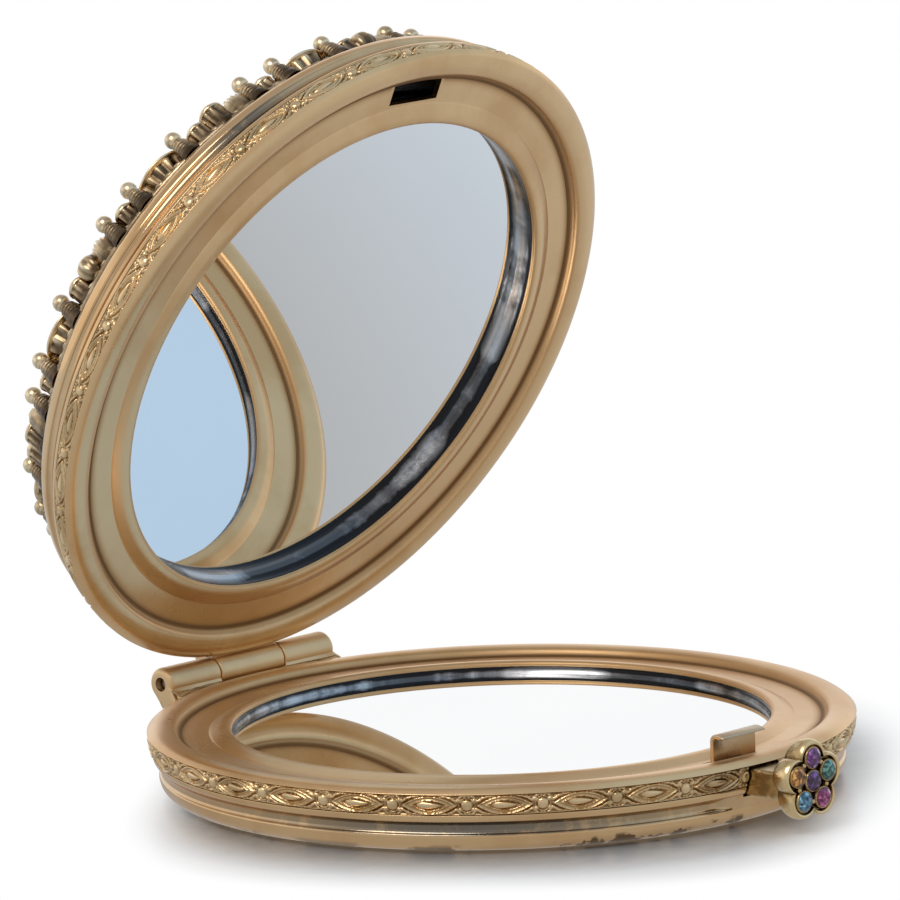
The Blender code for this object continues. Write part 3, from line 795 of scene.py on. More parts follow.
def frameShape():
    outline = softened(frameLook["outline"], 7)
    start, end = frameLook["flat"]
    flat = np.stack([np.linspace(start, end, 20), np.full(20, frameLook["flatLevel"])], -1)
    spot = int(np.argmax((outline[:, 0] > end) & (outline[:, 1] > 5.8)))
    outline = np.concatenate([outline[:spot], flat, outline[spot:]])
    # painted shade: the flat darkens towards the bead, and the lip's inner edge a little
    creaseShade = np.clip(outline[:, 0] - frameLook["creaseShadeFrom"], 0, 1) ** 1.7
    creaseShade = np.maximum(creaseShade, 0.4 * np.clip((27.0 - outline[:, 0]) / 0.3, 0, 1))
    return revolved(outline, case["segments"], True), {"creaseShade": np.tile(creaseShade, case["segments"])}


def mirrorRingShape(low):
    # a retaining ring whose inner face is hollowed under the lip and rolls out over the
    # glass; the groove value, painted shade, is high under the lip
    high, step, outer, inner = 5.86, 5.60, 27.2, 26.82
    tall = high - low
    outline = softened([
        (26.58, high, 0.04), (26.66, high - 0.30 * tall, 0.50), (26.56, low + 0.34 * tall, 0.60),
        (26.44, low, 0.02),
        (outer, low, 0.02), (outer, step, 0.02), (inner, step, 0.02), (inner, high, 0.02),
    ], 9)
    share = (outline[:, 1] - low) / tall
    groove = 0.25 + 0.75 * np.clip((share - 0.30) / 0.55, 0, 1)
    return revolved(outline, case["segments"], True), {"groove": np.tile(groove, case["segments"])}


def mirrorShape(face):
    # a glass disc with ground edges; its rim gets painted black shade where the frame covers it
    radius, thick, ground = 28.65, 1.2, 0.15
    outline = onAxis(face - thick, [
        (radius - ground, face - thick), (radius, face - thick + ground), (radius, face - ground),
        (radius - ground, face), (27.34, face), (27.30, face), (26.2, face), (13, face),
    ], face)
    rimShade = (outline[:, 0] > 27.32).astype(float)
    return revolved(outline, case["segments"]), {"rimShade": np.tile(rimShade, case["segments"])}


slots = {
    "base": cutter(boxShape(3.9, -36, -29.5, 3.6, 6.85)),
    "lid": cutter(boxShape(3.3, -36, -29.1, 3.6, 6.85), lidPlace),
}
mirrorFaces = {"base": 5.15, "lid": 4.17}
for half, face in mirrorFaces.items():
    place = places[half]
    grid, values = frameShape()
    node = half + "_inner_frame"
    addPiece(half + "Frame", grid, "shellGold", half, node, place, 40, values, [slots[half]])
    grid, values = mirrorRingShape(face - 0.01)
    addPiece(half + "MirrorRing", grid, "nickel", half, half + "_mirror_ring", place, 35, values)
    grid, values = mirrorShape(face)
    addPiece(half + "Mirror", grid, "mirrorGlass", half, half + "_mirror", place, 20, values)
print("frames and mirrors made")


# Hinge

hingeLook = {
    "barrel": 1.65, "bore": 0.72, "pin": 0.6, "pinHalf": 11.0,
    "free": 0.55, "joint": 0.24,     # rounding of the hinge's free ends and of the joints
    # (name, body, left end, right end, side of the pin that the arm is on)
    "knuckles": [
        ("Left", "base", -11.6, -4.56, -1), ("Right", "base", 4.56, 11.6, -1),
        ("Center", "lid", -4.44, 4.44, 1),
    ],
}


def knuckleOutline(front, up):
    # barrel and arm about the pin in (y, z): the barrel from below the back round over the
    # top, a hollow down to the arm, its front against the case, and its slanted underside
    a = np.radians(np.linspace(-50, 190, 52))
    barrel = hingeLook["barrel"] * np.stack([np.cos(a), np.sin(a)], -1)
    arm = softened([
        (-1.85, -0.50, 0.2), (-front, -0.85, 0.15), (-front, -2.9, 0.3), (-0.3, -2.9, 0.6),
        (0.2, -2.35, 0.3),
    ], 6)
    outline = np.concatenate([barrel, arm])
    angle = np.unwrap(np.arctan2(outline[:, 1], outline[:, 0]))
    return outline[np.argsort(angle)] * [1, -up]


def knuckleShape(left, right, up):
    # the outline at stations along the pin, rounded in at both ends and closed by the bore
    rounds = [hingeLook["free"] if abs(end) > 11 else hingeLook["joint"] for end in (left, right)]
    t = np.linspace(0, math.pi / 2, 7)
    dip, draw = 1 - np.cos(t), 1 - np.sin(t)
    middle = np.linspace(left + 0.7, right - 0.7, 9)
    x = np.concatenate([left + rounds[0] * dip, middle, right - rounds[1] * dip[::-1]])
    inset = np.concatenate([rounds[0] * draw, 0 * middle, rounds[1] * draw[::-1]])
    rings = []
    for spot, cut in zip(x, inset):
        front = case["hingeY"] - math.sqrt((case["radius"] + 0.3) ** 2 - spot**2)
        ring = knuckleOutline(front, up)
        far = np.linalg.norm(ring, axis=1)[:, None]
        rings.append(ring * (1 - cut / far))
    bores = [end / np.linalg.norm(end, axis=1)[:, None] * hingeLook["bore"] for end in (rings[0], rings[-1])]
    yz = np.array([bores[0]] + rings + [bores[1]]) + hingeSpot[1:]
    xs = np.concatenate([[left], x, [right]])
    points = np.concatenate([np.broadcast_to(xs[:, None, None], (*yz.shape[:2], 1)), yz], -1)
    return points.reshape(-1, 3), gridQuads(len(xs), yz.shape[1], True, True)


def pinShape():
    # a pin with domed ends, turned about Z and then laid along X
    half = hingeLook["pinHalf"]
    t = np.linspace(0, math.pi / 2, 6)
    dome = 0.25 * (1 - np.cos(t))
    height = np.concatenate([-half + dome, half - dome[::-1]])
    radius = hingeLook["pin"] * np.concatenate([np.sin(t), np.sin(t[::-1])])
    points, quads = revolved(onAxis(-half, np.stack([radius, height], -1), half), 32)
    return points[:, [2, 0, 1]] + hingeSpot, quads


for side, body, left, right, up in hingeLook["knuckles"]:
    grid = knuckleShape(left, right, up)
    place = openLid if body == "lid" else same
    addPiece("hingeKnuckle" + side, grid, "hingeGold", body, "hinge_knuckle_" + side.lower(), place, 30)
addPiece("hingePin", pinShape(), "steel", "base", "hinge_pin")
print("hinge made")


# Latch slider

latchLook = {
    # (y, z) along the middle of the strip: its foot and its upright, and the lip behind the roll
    "foot": [
        (-28.4, 1.525), (-30.0, 1.525), (-30.45, 1.57), (-30.75, 1.80), (-30.85, 2.2),
        (-30.85, 5.0), (-30.85, 7.95),
    ],
    "lip": [(-31.60, 8.685), (-31.95, 8.645), (-32.25, 8.60), (-32.38, 8.575)],
    "rollMiddle": (-31.35, 8.20),
    "roll": 0.50,
    "halfWidth": 3.0,
    "stem": [(-1.9, 3.2, 0.30), (1.9, 3.2, 0.30), (1.9, 5.85, 0.30), (-1.9, 5.85, 0.30)],
}


def stripShape():
    # a flat strip carried along its bent centre line: foot, upright, rolled top and a lip
    # that slopes down outwards; its plating is rubbed bare over the top
    a = np.linspace(0, math.radians(75), 9)
    roll = latchLook["rollMiddle"] + latchLook["roll"] * np.stack([np.cos(a), np.sin(a)], -1)
    path = np.concatenate([latchLook["foot"], roll, latchLook["lip"]])
    along = np.gradient(path, axis=0)
    along /= np.linalg.norm(along, axis=1)[:, None]
    across = np.stack([-along[:, 1], along[:, 0]], -1)
    count = len(path)
    stops = [0, 6, count - 4, count - 2, count - 1]
    thick = np.interp(np.arange(count), stops, [0.22, 0.25, 0.22, 0.13, 0.05])
    w = latchLook["halfWidth"]
    half = [-w, -w + 0.03, -w + 0.12, w - 0.12, w - 0.03, w]
    side = np.array(half + half[::-1])
    lift = np.array([-0.5, -0.86, -1, -1, -0.86, -0.5, 0.5, 0.86, 1, 1, 0.86, 0.5])
    yz = path[:, None] + lift[None, :, None] * across[:, None] * thick[:, None, None]
    rings = np.concatenate([np.broadcast_to(side[None, :, None], (count, 12, 1)), yz], -1)
    caps = [np.broadcast_to(rings[k].mean(0), (1, 12, 3)) for k in (0, -1)]
    points = np.concatenate([caps[0], rings, caps[1]])
    bare = np.clip((points[..., 2] - 7.9) / 0.5, 0, 1)
    return (points.reshape(-1, 3), gridQuads(len(points), 12, False, True)), {"bare": bare}


def stemShape():
    # the bar from the slider to the flower: an (x, z) ring carried along Y
    points, quads = swept(softened(latchLook["stem"], 5), -31.0, -39.3)
    return points[:, [1, 0, 2]], quads


grid, values = stripShape()
addPiece("latchHook", grid, "rubbedGold", "latch", "latch_slider", smooth=40, values=values)
grid = stemShape()
values = {"rub": np.full(len(grid[0]), 0.36)}
addPiece("latchStem", grid, "flowerGold", "latch", "latch_slider", smooth=40, values=values)
print("latch made")


# Stones

def stoneShape(radius):
    # a round brilliant: 8-sided table, 8 kites and 16 girdle facets over a 16-sided pavilion
    def ring(count, share, height, shift=0.0):
        a = (np.arange(count) + shift) * 2 * math.pi / count
        return np.stack([share * np.cos(a), share * np.sin(a), np.full(count, height)], -1)
    rings = [ring(8, 0.56, 0.36), ring(8, 0.82, 0.205, 0.5), ring(16, 1.0, 0.03), ring(16, 1.0, -0.03)]
    points = np.concatenate(rings + [[(0, 0, 0.36), (0, 0, -0.62)]]) * radius
    t, m, g, u, top, tip = 0, 8, 16, 32, 48, 49
    faces = []
    for i in range(8):
        j = (i + 1) % 8
        faces += [
            (t + i, t + j, top), (t + i, m + i, t + j), (t + i, g + 2 * i, m + i), (m + i, g + 2 * j, t + j),
            (m + i, g + 2 * i, g + 2 * i + 1), (m + i, g + 2 * i + 1, g + 2 * j),
        ]
    for i in range(16):
        j = (i + 1) % 16
        faces += [(g + i, u + i, u + j, g + j), (u + i, tip, u + j)]
    return points, faces


def addStone(name, radius, finish, body, node, place, seed):
    # made with from_pydata, because its faces are triangles; each facet gets its own tone of painted
    # reflection
    points, faces = stoneShape(radius)
    mesh = bpy.data.meshes.new(name)
    mesh.from_pydata((place(points) * mm).tolist(), [], faces)
    tone = np.random.default_rng(seed).uniform(0, 1, len(faces)) ** 2.2
    mesh.attributes.new("facetReflection", "FLOAT", "FACE").data.foreach_set("value", tone.astype(np.float32))
    work = bmesh.new()
    work.from_mesh(mesh)
    bmesh.ops.recalc_face_normals(work, faces=work.faces)
    work.to_mesh(mesh)
    work.free()
    mesh.materials.append(materials[finish])
    mesh.shade_flat()
    stone = bpy.data.objects.new(name, mesh)
    scene.collection.objects.link(stone)
    settle(stone, body, node)


# Flower button

flowerLook = {
    "height": 5.15, "back": 38.6, "face": 41.2, "offset": 2.25, "petal": 1.74, "stone": 0.98,
    "petals": [
        ("top", "violet"), ("left", "topaz"), ("lower_left", "aquamarine"), ("lower_right", "ruby"),
        ("right", "emerald"),
    ],
    "wallSteps": 160,
    "beadRadius": 0.26, "beadRing": 2.02,
}
petalAngles = [math.pi / 2 + i * 2 * math.pi / 5 for i in range(5)]


def facingOut(points):
    # shapes drawn about +Z are laid to face -Y at the button: x stays, height goes to -y
    return np.stack([points[:, 0], -points[:, 2], points[:, 1] + flowerLook["height"]], -1)


def scallop(angle):
    # reach of five overlapping petals in each direction: the farthest point of the circles
    # round the petal middles, R = d cos t + sqrt(p^2 - d^2 sin^2 t)
    d, p = flowerLook["offset"] + 0.06, flowerLook["petal"]
    step = 2 * math.pi / 5
    t = (angle - petalAngles[0] + step / 2) % step - step / 2
    return d * np.cos(t) + np.sqrt(p**2 - (d * np.sin(t)) ** 2)


def trayShape():
    # the button's body: share-of-reach and height down its wall, over the rim, into a
    # shallow tray; the valleys between the petals and the tray are painted dark as shade
    low, high, steps = flowerLook["back"], flowerLook["face"], flowerLook["wallSteps"]
    floor = high - 0.42
    wall = softened([
        (0.74, low, 0.10), (0.90, low + 0.55, 0.6), (0.985, low + 1.35, 0.5), (1.0, high - 0.42, 0.35),
        (0.955, high + 0.06, 0.16), (0.875, high + 0.02, 0.05), (0.845, floor, 0.05),
    ], 7)
    outline = onAxis(low, np.concatenate([wall, [(0.4, floor)]]), floor)
    angle = around(steps)
    edge = scallop(angle)
    points = wrapped(edge[:, None] * outline[:, 0], angle, outline[:, 1])
    tall = (outline[:, 1] - low) / (high - low)
    valley = (edge.max() - edge) / np.ptp(edge)
    # painted shade: darker towards the back of the wall, in the valleys and in the tray
    rub = np.clip(0.25 + 0.6 * tall, 0, 0.9) * (1 - 0.75 * valley**2)[:, None]
    rub = np.where(outline[:, 0] < 0.86, 0.03, rub)
    return (points.reshape(-1, 3), gridQuads(steps, len(outline), True, False)), rub.ravel()


def bezelShape(stone):
    # a thin raised ring that holds a stone
    high = flowerLook["face"]
    outline = softened([
        (stone + 0.18, high - 0.60, 0.05), (stone + 0.15, high - 0.12, 0.10),
        (stone + 0.05, high + 0.07, 0.05),
        (stone - 0.03, high + 0.04, 0.03), (stone - 0.03, high - 0.60, 0.05),
    ], 4)
    # painted shade low on the ring, lighter towards its top
    rub = np.clip((outline[:, 1] - high + 0.30) / 0.5, 0.02, 0.42)
    return revolved(outline, 32, True), np.tile(rub, 32)


def ballShape(radius):
    t = np.linspace(-math.pi / 2, math.pi / 2, 9)
    return revolved(np.stack([radius * np.cos(t), radius * np.sin(t)], -1), 16)


def addFlowerStone(name, node, finish, spot, seed):
    # a stone that lies in its bezel at the spot on the flower's face
    shift = [spot[0], spot[1], flowerLook["face"] + 0.08]

    def place(points):
        return facingOut(points + shift)

    addStone("buttonStone" + name, flowerLook["stone"], finish, "latch", "button_stone_" + node, place, seed)


bezel, bezelWearAndShading = bezelShape(flowerLook["stone"])
cups = [trayShape(), (bezel, bezelWearAndShading)]
cups += [(moved(bezel, polar(flowerLook["offset"], a)), bezelWearAndShading) for a in petalAngles]
values = {"rub": np.concatenate([rub for part, rub in cups])}
shape = joined([part for part, rub in cups])
addPiece("flowerCups", shape, "flowerGold", "latch", "flower_button", facingOut, 50, values)
bead, beadLevel = ballShape(flowerLook["beadRadius"]), flowerLook["face"] - 0.16
beads = [moved(bead, polar(flowerLook["beadRing"], a + math.pi / 5, beadLevel)) for a in petalAngles]
addPiece("flowerBeads", joined(beads), "polishedGold", "latch", "flower_button", facingOut, 50)
addFlowerStone("Center", "center", "amethyst", (0, 0), 5)
for i, (side, finish) in enumerate(flowerLook["petals"]):
    spot = polar(flowerLook["offset"], petalAngles[i])
    addFlowerStone(side.title().replace("_", ""), side, finish, spot, 11 + i)
print("flower made")


# Return spring

springLook = {"wire": 0.11, "sides": 10, "turns": 3.5, "steps": 126}


def tubeShape(path, radius, sides):
    # a round tube carried along a path, both ends closed to a point
    along = np.gradient(path, axis=0)
    along /= np.linalg.norm(along, axis=1)[:, None]
    side = np.cross(along, [0, 1, 0])
    side /= np.linalg.norm(side, axis=1)[:, None]
    up = np.cross(side, along)
    a = around(sides)[None, :, None]
    ring = path[:, None] + radius * (np.cos(a) * side[:, None] + np.sin(a) * up[:, None])
    ends = [np.broadcast_to(path[k], (1, sides, 3)) for k in (0, -1)]
    points = np.concatenate([ends[0], ring, ends[1]])
    return points.reshape(-1, 3), gridQuads(len(points), sides, False, True)


def springPath():
    # a coil about Y: x = R cos t, z = R sin t, y runs evenly
    low, high = (np.array(corner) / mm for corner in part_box("latch_spring"))
    radius = (high[0] - low[0]) / 2 - 0.12
    t = np.linspace(0, springLook["turns"] * 2 * math.pi, springLook["steps"])
    y = np.linspace(low[1] + 0.13, high[1] - 0.13, len(t))
    return np.stack([radius * np.cos(t), y, (low[2] + high[2]) / 2 + radius * np.sin(t)], -1)


coil = tubeShape(springPath(), springLook["wire"], springLook["sides"])
spring = addPiece("latchSpring", coil, "steel", "base", "latch_spring", smooth=60)
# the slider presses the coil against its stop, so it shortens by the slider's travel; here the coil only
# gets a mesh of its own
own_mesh(spring)


# Lid casting

castLook = {
    "low": 14.0, "top": 14.7, "rolled": 31.2, "root": -0.4,
    "outerRing": 28.2, "outerStone": 3.1, "outerCup": 2.4, "outerTurn": math.radians(4), "outerCount": 10,
    "smallRing": 25.1, "smallStone": 1.6, "smallCup": 1.7,
    "innerRing": 15.0, "innerStone": 2.0, "innerCup": 1.9, "innerCount": 8,
    "centreStone": 3.6, "centreCup": 2.6,
    "prongHeight": 2.98, "prongBall": 0.86, "spread": math.radians(50), "lobeTurns": (10.3, 18.6, 26.3),
}


def grooves(ribs, segments, ribbed):
    # one in the grooves of a fluted wall and 0 on its ribs
    return np.outer(0.5 - 0.5 * np.cos(ribs * around(segments)), ribbed)


def settingCup(stone, tall, ribs):
    # a fluted cup that widens upwards, with a beaded rim and a tapered hollow
    wide, foot, hollow = stone + 0.6, -0.35, tall - 0.78 * stone
    outline = onAxis(foot, softened([
        (wide * 0.84, foot, 0.05), (wide * 0.84, 0.12, 0.10), (wide * 0.92, 0.32, 0.12),
        (wide * 0.80, 0.52, 0.10),
        (wide * 0.93, tall - 0.55, 0.3), (wide * 0.90, tall - 0.42, 0.06), (wide, tall - 0.26, 0.12),
        (wide * 0.99, tall - 0.04, 0.14), (stone + 0.12, tall, 0.08), (stone - 0.06, tall - 0.05, 0.05),
        (stone * 0.45, hollow, 0.05),
    ], 3), hollow)
    r, z = outline[:, 0], outline[:, 1]
    ribbed = ((z > 0.40) & (z < tall - 0.46) & (r > wide * 0.7)).astype(float)
    # painted shade low down, in the flutes and in the hollow, lighter towards the rim
    rub = np.clip(0.12 + 0.68 * z / tall, 0.05, 0.85) * (1 - 0.85 * grooves(ribs, ribs * 6, ribbed))
    rub = np.where(r < stone - 0.1, 0.12, rub)
    return revolved(outline, ribs * 6, False, ribs, 0.045, ribbed), rub.ravel()


def prongShape():
    # a ringed post that flares at its root, with a ball tip
    h, b, root = castLook["prongHeight"], castLook["prongBall"], castLook["root"]
    post = softened([
        (1.42, root, 0.05), (1.36, 0.20, 0.30), (1.10, 0.72, 0.25), (1.14, 0.98, 0.10), (0.98, 1.14, 0.10),
        (1.02, 1.42, 0.10), (0.88, 1.58, 0.10), (0.92, 1.88, 0.10), (0.78, 2.04, 0.10),
        (0.72, h - 0.84, 0.12),
        (0.70, h - 0.58, 0.02),
    ], 3)[2:-2]
    t = np.linspace(-0.85, math.pi / 2, 9)
    ball = np.stack([b * np.cos(t), h + b * np.sin(t)], -1)
    outline = np.concatenate([[(0, root), (1.42, root)], post, ball])
    z = outline[:, 1]
    # painted shade at the root, lighter up to the ball, with banding on the rings
    rub = 0.08 + 0.62 * np.clip(z / h, 0, 1) ** 1.6 + 0.16 * np.cos(z * 15) * (z > 0.8)
    return revolved(outline, 18), np.tile(np.clip(rub, 0.08, 1.0), 18)


def beadShape(radius, height, ribs=0):
    # a ball on a collar, its top at the given height; ribs flute its sides
    t = np.linspace(-1.15, math.pi / 2, 12)
    middle, root = height - radius, castLook["root"]
    ball = np.stack([radius * np.cos(t), middle + radius * np.sin(t)], -1)
    collar = [(0, root), (radius * 0.86, root), (radius * 0.86, 0.12), (radius * 0.66, 0.24)]
    outline = np.concatenate([collar, ball])
    z = outline[:, 1]
    ribbed = np.clip((z - 0.3) * (height - 0.35 - z), 0, 1) ** 0.5
    segments = max(24, ribs * 6)
    # painted shade low down and in the flutes, lighter on the ball
    rub = np.clip(0.25 + 0.75 * (z - middle + radius * 0.6) / (radius * 1.6), 0.12, 0.95)
    rub = rub * (1 - 0.6 * grooves(ribs, segments, ribbed))
    return revolved(outline, segments, False, ribs, 0.06 if ribs else 0.0, ribbed), rub.ravel()


def columnShape(radius, height, ribs):
    # a fluted shaft on a foot, with a ring and a domed cap
    root = castLook["root"]
    outline = onAxis(root, softened([
        (radius * 1.12, root, 0.05), (radius * 1.12, 0.25, 0.15), (radius * 0.92, 0.48, 0.12),
        (radius * 0.88, height - 0.92, 0.15), (radius, height - 0.80, 0.08),
        (radius * 1.02, height - 0.56, 0.08),
        (radius * 0.84, height - 0.46, 0.06), (radius * 0.80, height - 0.20, 0.25),
        (radius * 0.42, height, 0.20),
    ], 3), height)
    z = outline[:, 1]
    ribbed = ((z > 0.42) & (z < height - 0.84)).astype(float)
    # painted shade low down and in the flutes, lighter towards the cap
    rub = np.clip(0.08 + 0.78 * z / height, 0.05, 0.9) * (1 - 0.85 * grooves(ribs, ribs * 6, ribbed))
    return revolved(outline, ribs * 6, False, ribs, 0.08, ribbed), rub.ravel()


def leafShape(length, width, rise, vein=0.10):
    # cross-sections are closed rings: half width W (1 - s^2), arched above with a midrib
    # groove and side veins, flat below; both tips close to a point
    s = np.linspace(-1, 1, 25)[:, None]
    p = around(20)
    above = np.sin(p) > -1e-6
    half = width * (1 - s**2) ** 0.85 * (1 + 0.25 * s)
    arch = np.clip(np.sin(p), 0, 1) ** 0.7
    groove = 1 - 0.30 * bump(np.cos(p), 0.16)
    veins = 1 + vein * np.sin(9 * s * math.pi + 5 * np.abs(np.cos(p)))
    z = np.where(above, rise * (1 - s**2) ** 0.6 * arch * groove * veins, -0.3)
    z = z + 0.25 * rise * s**2 * above
    z[[0, -1]] = 0
    points = np.stack([length * s + 0 * p, half * np.cos(p), z], -1)
    # painted shade low down and in the midrib, lighter on the arch
    rub = 0.1 + 0.8 * np.clip(z / rise, 0, 1) * groove
    return (points.reshape(-1, 3), gridQuads(len(s), len(p), False, True)), rub.ravel()


def ropeShape(radius, level, thick, strands):
    # a torus whose tube swells in a slanting wave, like twisted wire
    u, p = around(strands * 8), around(12)
    wave = np.cos(strands * u[:, None] + 2 * p)
    r = thick * (1 + 0.20 * wave)
    points = wrapped(radius + r * np.cos(p), u, level + r * np.sin(p))
    # painted highlight on the top and the swells, painted shade underneath
    rub = np.clip(0.35 + 0.35 * np.sin(p) + 0.30 * wave, 0.05, 1)
    return (points.reshape(-1, 3), gridQuads(len(u), 12, True, True)), rub.ravel()


def plateShape():
    # the ground plate: a disc with a rolled edge and low rings pressed into its top
    low, top, rolled = castLook["low"], castLook["top"], castLook["rolled"]
    r = np.linspace(0, rolled, 157)
    rings = np.stack([r, top + 0.06 * np.cos(2 * math.pi * r / 1.3) - 0.06], -1)
    edge = [
        (31.6, 14.70), (31.9, 14.66), (32.05, 14.56), (32.1, 14.40), (32.05, 14.24), (31.9, 14.10),
        (31.6, low),
    ]
    outline = np.concatenate([rings, edge, [(0, low)]])
    # painted shade in the pressed rings, lighter on their ridges and on the rolled edge
    rub = np.clip(0.16 + 2.2 * (rings[:, 1] - top + 0.06), 0.04, 0.35)
    rub = np.concatenate([rub, np.full(len(edge), 0.45), [0.1]])
    return revolved(outline, 192), np.tile(rub, 192)


def placed(shapeAndWearShading, radius, angle, turn=None, stretch=(1, 1, 1)):
    shape, rub = shapeAndWearShading
    spot = polar(radius, angle, castLook["top"])
    return moved(shape, spot, angle if turn is None else turn, stretch), rub


def fourProngs(ringRadius, angle, stone):
    # two prongs on the outer and two on the inner side of a setting
    shape, rub = prong
    reach = stone + castLook["prongBall"] + 0.3
    found = []
    for side in (0, math.pi):
        for turn in (-castLook["spread"], castLook["spread"]):
            spot = polar(ringRadius, angle) + polar(reach, angle + side + turn, castLook["top"])
            found.append((moved(shape, spot), rub))
    return found


prong = prongShape()
cup = {
    "outer": settingCup(castLook["outerStone"], castLook["outerCup"], 16),
    "small": settingCup(castLook["smallStone"], castLook["smallCup"], 11),
    "inner": settingCup(castLook["innerStone"], castLook["innerCup"], 12),
    "centre": settingCup(castLook["centreStone"], castLook["centreCup"], 20),
}
edgeBeads = (columnShape(1.45, 3.2, 10), beadShape(1.5, 3.2, 9))
lobes = (columnShape(1.30, 2.9, 9), leafShape(2.0, 1.5, 2.9, 0.09), columnShape(1.25, 2.6, 9))
smallBead = beadShape(0.8, 1.2)
tinyBead = beadShape(0.42, 0.55)
longLeaf = leafShape(2.3, 1.1, 0.95)
shortLeaf = leafShape(1.5, 0.8, 0.75)

wander = np.random.default_rng(8)
cups = [placed(cup["centre"], 0, 0)]
prongs = fourProngs(0, 0, castLook["centreStone"])
plate = [
    plateShape(),
    ropeShape(31.35, castLook["top"] + 0.10, 0.38, 150),
    ropeShape(19.0, castLook["top"] + 0.02, 0.26, 96),
]
ground = [placed(smallBead, 6.7, (i + 0.5) * math.pi / 8) for i in range(16)]
innerStep = 2 * math.pi / castLook["innerCount"]
for i in range(castLook["innerCount"]):
    angle = i * innerStep
    between = angle + innerStep / 2
    cups.append(placed(cup["inner"], castLook["innerRing"], angle))
    ground.append(placed(shortLeaf, 10.9, angle))
    ground.append(placed(smallBead, castLook["innerRing"], between))
    for side in (-1, 1):
        ground.append(placed(shortLeaf, 12.6, between + side * 0.12, between + side * 0.5, (0.8, 0.7, 0.8)))
outerStep = 2 * math.pi / castLook["outerCount"]
for i in range(castLook["outerCount"]):
    angle = castLook["outerTurn"] + i * outerStep
    between = angle + outerStep / 2
    cups.append(placed(cup["outer"], castLook["outerRing"], angle))
    cups.append(placed(cup["small"], castLook["smallRing"], between))
    prongs += fourProngs(castLook["outerRing"], angle, castLook["outerStone"])
    prongs.append(placed(prong, 31.1, between + math.radians(4.5)))
    prongs.append(placed(edgeBeads[i % 2], 30.6, between + math.radians(-3.5)))
    for turn, lobe in zip(castLook["lobeTurns"], lobes):
        spot = angle + math.radians(turn) + wander.uniform(-0.008, 0.008)
        ring = 30.5 + wander.uniform(-0.2, 0.2)
        ground.append(placed(lobe, ring, spot, spot + math.pi / 2, (1, 1, wander.uniform(0.88, 1.12))))
    ground.append(placed(longLeaf, 21.4, angle))
    for side in (-1, 1):
        spot = between + side * math.radians(9)
        ground.append(placed(longLeaf, 21.4, spot, spot + side * math.radians(28)))
        ground.append(placed(tinyBead, 23.6, between + side * math.radians(6)))
for name, parts in (("Plate", plate), ("Leaves", ground), ("Cups", cups), ("Prongs", prongs)):
    shape = joined([part for part, rub in parts])
    values = {"rub": np.concatenate([rub for part, rub in parts])}
    addPiece("casting" + name, shape, "antiqueGold", "lid", "lid_ornament", openLid, 50, values)
print("casting made")


def addLidStone(size, number, finish, angle, seed):
    # a stone over its cup on the lid; size is centre, inner, outer or small
    ring = castLook.get(size + "Ring", 0)
    spot = polar(ring, angle, castLook["top"] + castLook[size + "Cup"] + 0.1)

    def place(points):
        return openLid(points + spot)

    label = "Center" if number is None else f"{size.title()}{number}"
    node = "lid_stone_center" if number is None else f"lid_stone_{size}_{number}"
    addStone("lidStone" + label, castLook[size + "Stone"], finish, "lid", node, place, seed)


addLidStone("centre", None, "amethyst", 0, 3)
for i in range(castLook["innerCount"]):
    addLidStone("inner", i + 1, ("violet", "crystal")[i % 2], i * innerStep, 20 + i)
outerFinishes = ("topaz", "aquamarine", "amethyst", "emerald", "ruby")
for i in range(castLook["outerCount"]):
    angle = castLook["outerTurn"] + i * outerStep
    addLidStone("outer", i + 1, outerFinishes[i % 5], angle, 40 + i)
    addLidStone("small", i + 1, "crystal", angle + outerStep / 2, 60 + i)
print("stones set")


# Nodes that keep their CAD shape

carriedFinishes = {
    "base_mirror_backing": "backingFelt", "lid_mirror_backing": "backingFelt", "latch_guide": "steel",
}
for node, finish in carriedFinishes.items():
    carried = frame["nodes"][node]
    carried.data.materials.clear()
    carried.data.materials.append(materials[finish])

for tool in [piece for piece in scene.objects if piece.name.startswith("cutter")]:
    bpy.data.objects.remove(tool, do_unlink=True)


# Floor, lights, world, camera

stageLook = {
    "size": 3.0, "tone": 0.86, "contactShadow": 0.08, "contactFrom": 0.031, "contactTo": 0.0450,
    "halfWidth": 0.0385, "halfDepth": 0.0498, "fadeFrom": 0.40, "turn": math.radians(53.9), "shift": 0.0025,
    "reflectedNearShade": (0.46, 0.46, 0.46), "reflectedFar": (0.64, 0.70, 0.77),
}


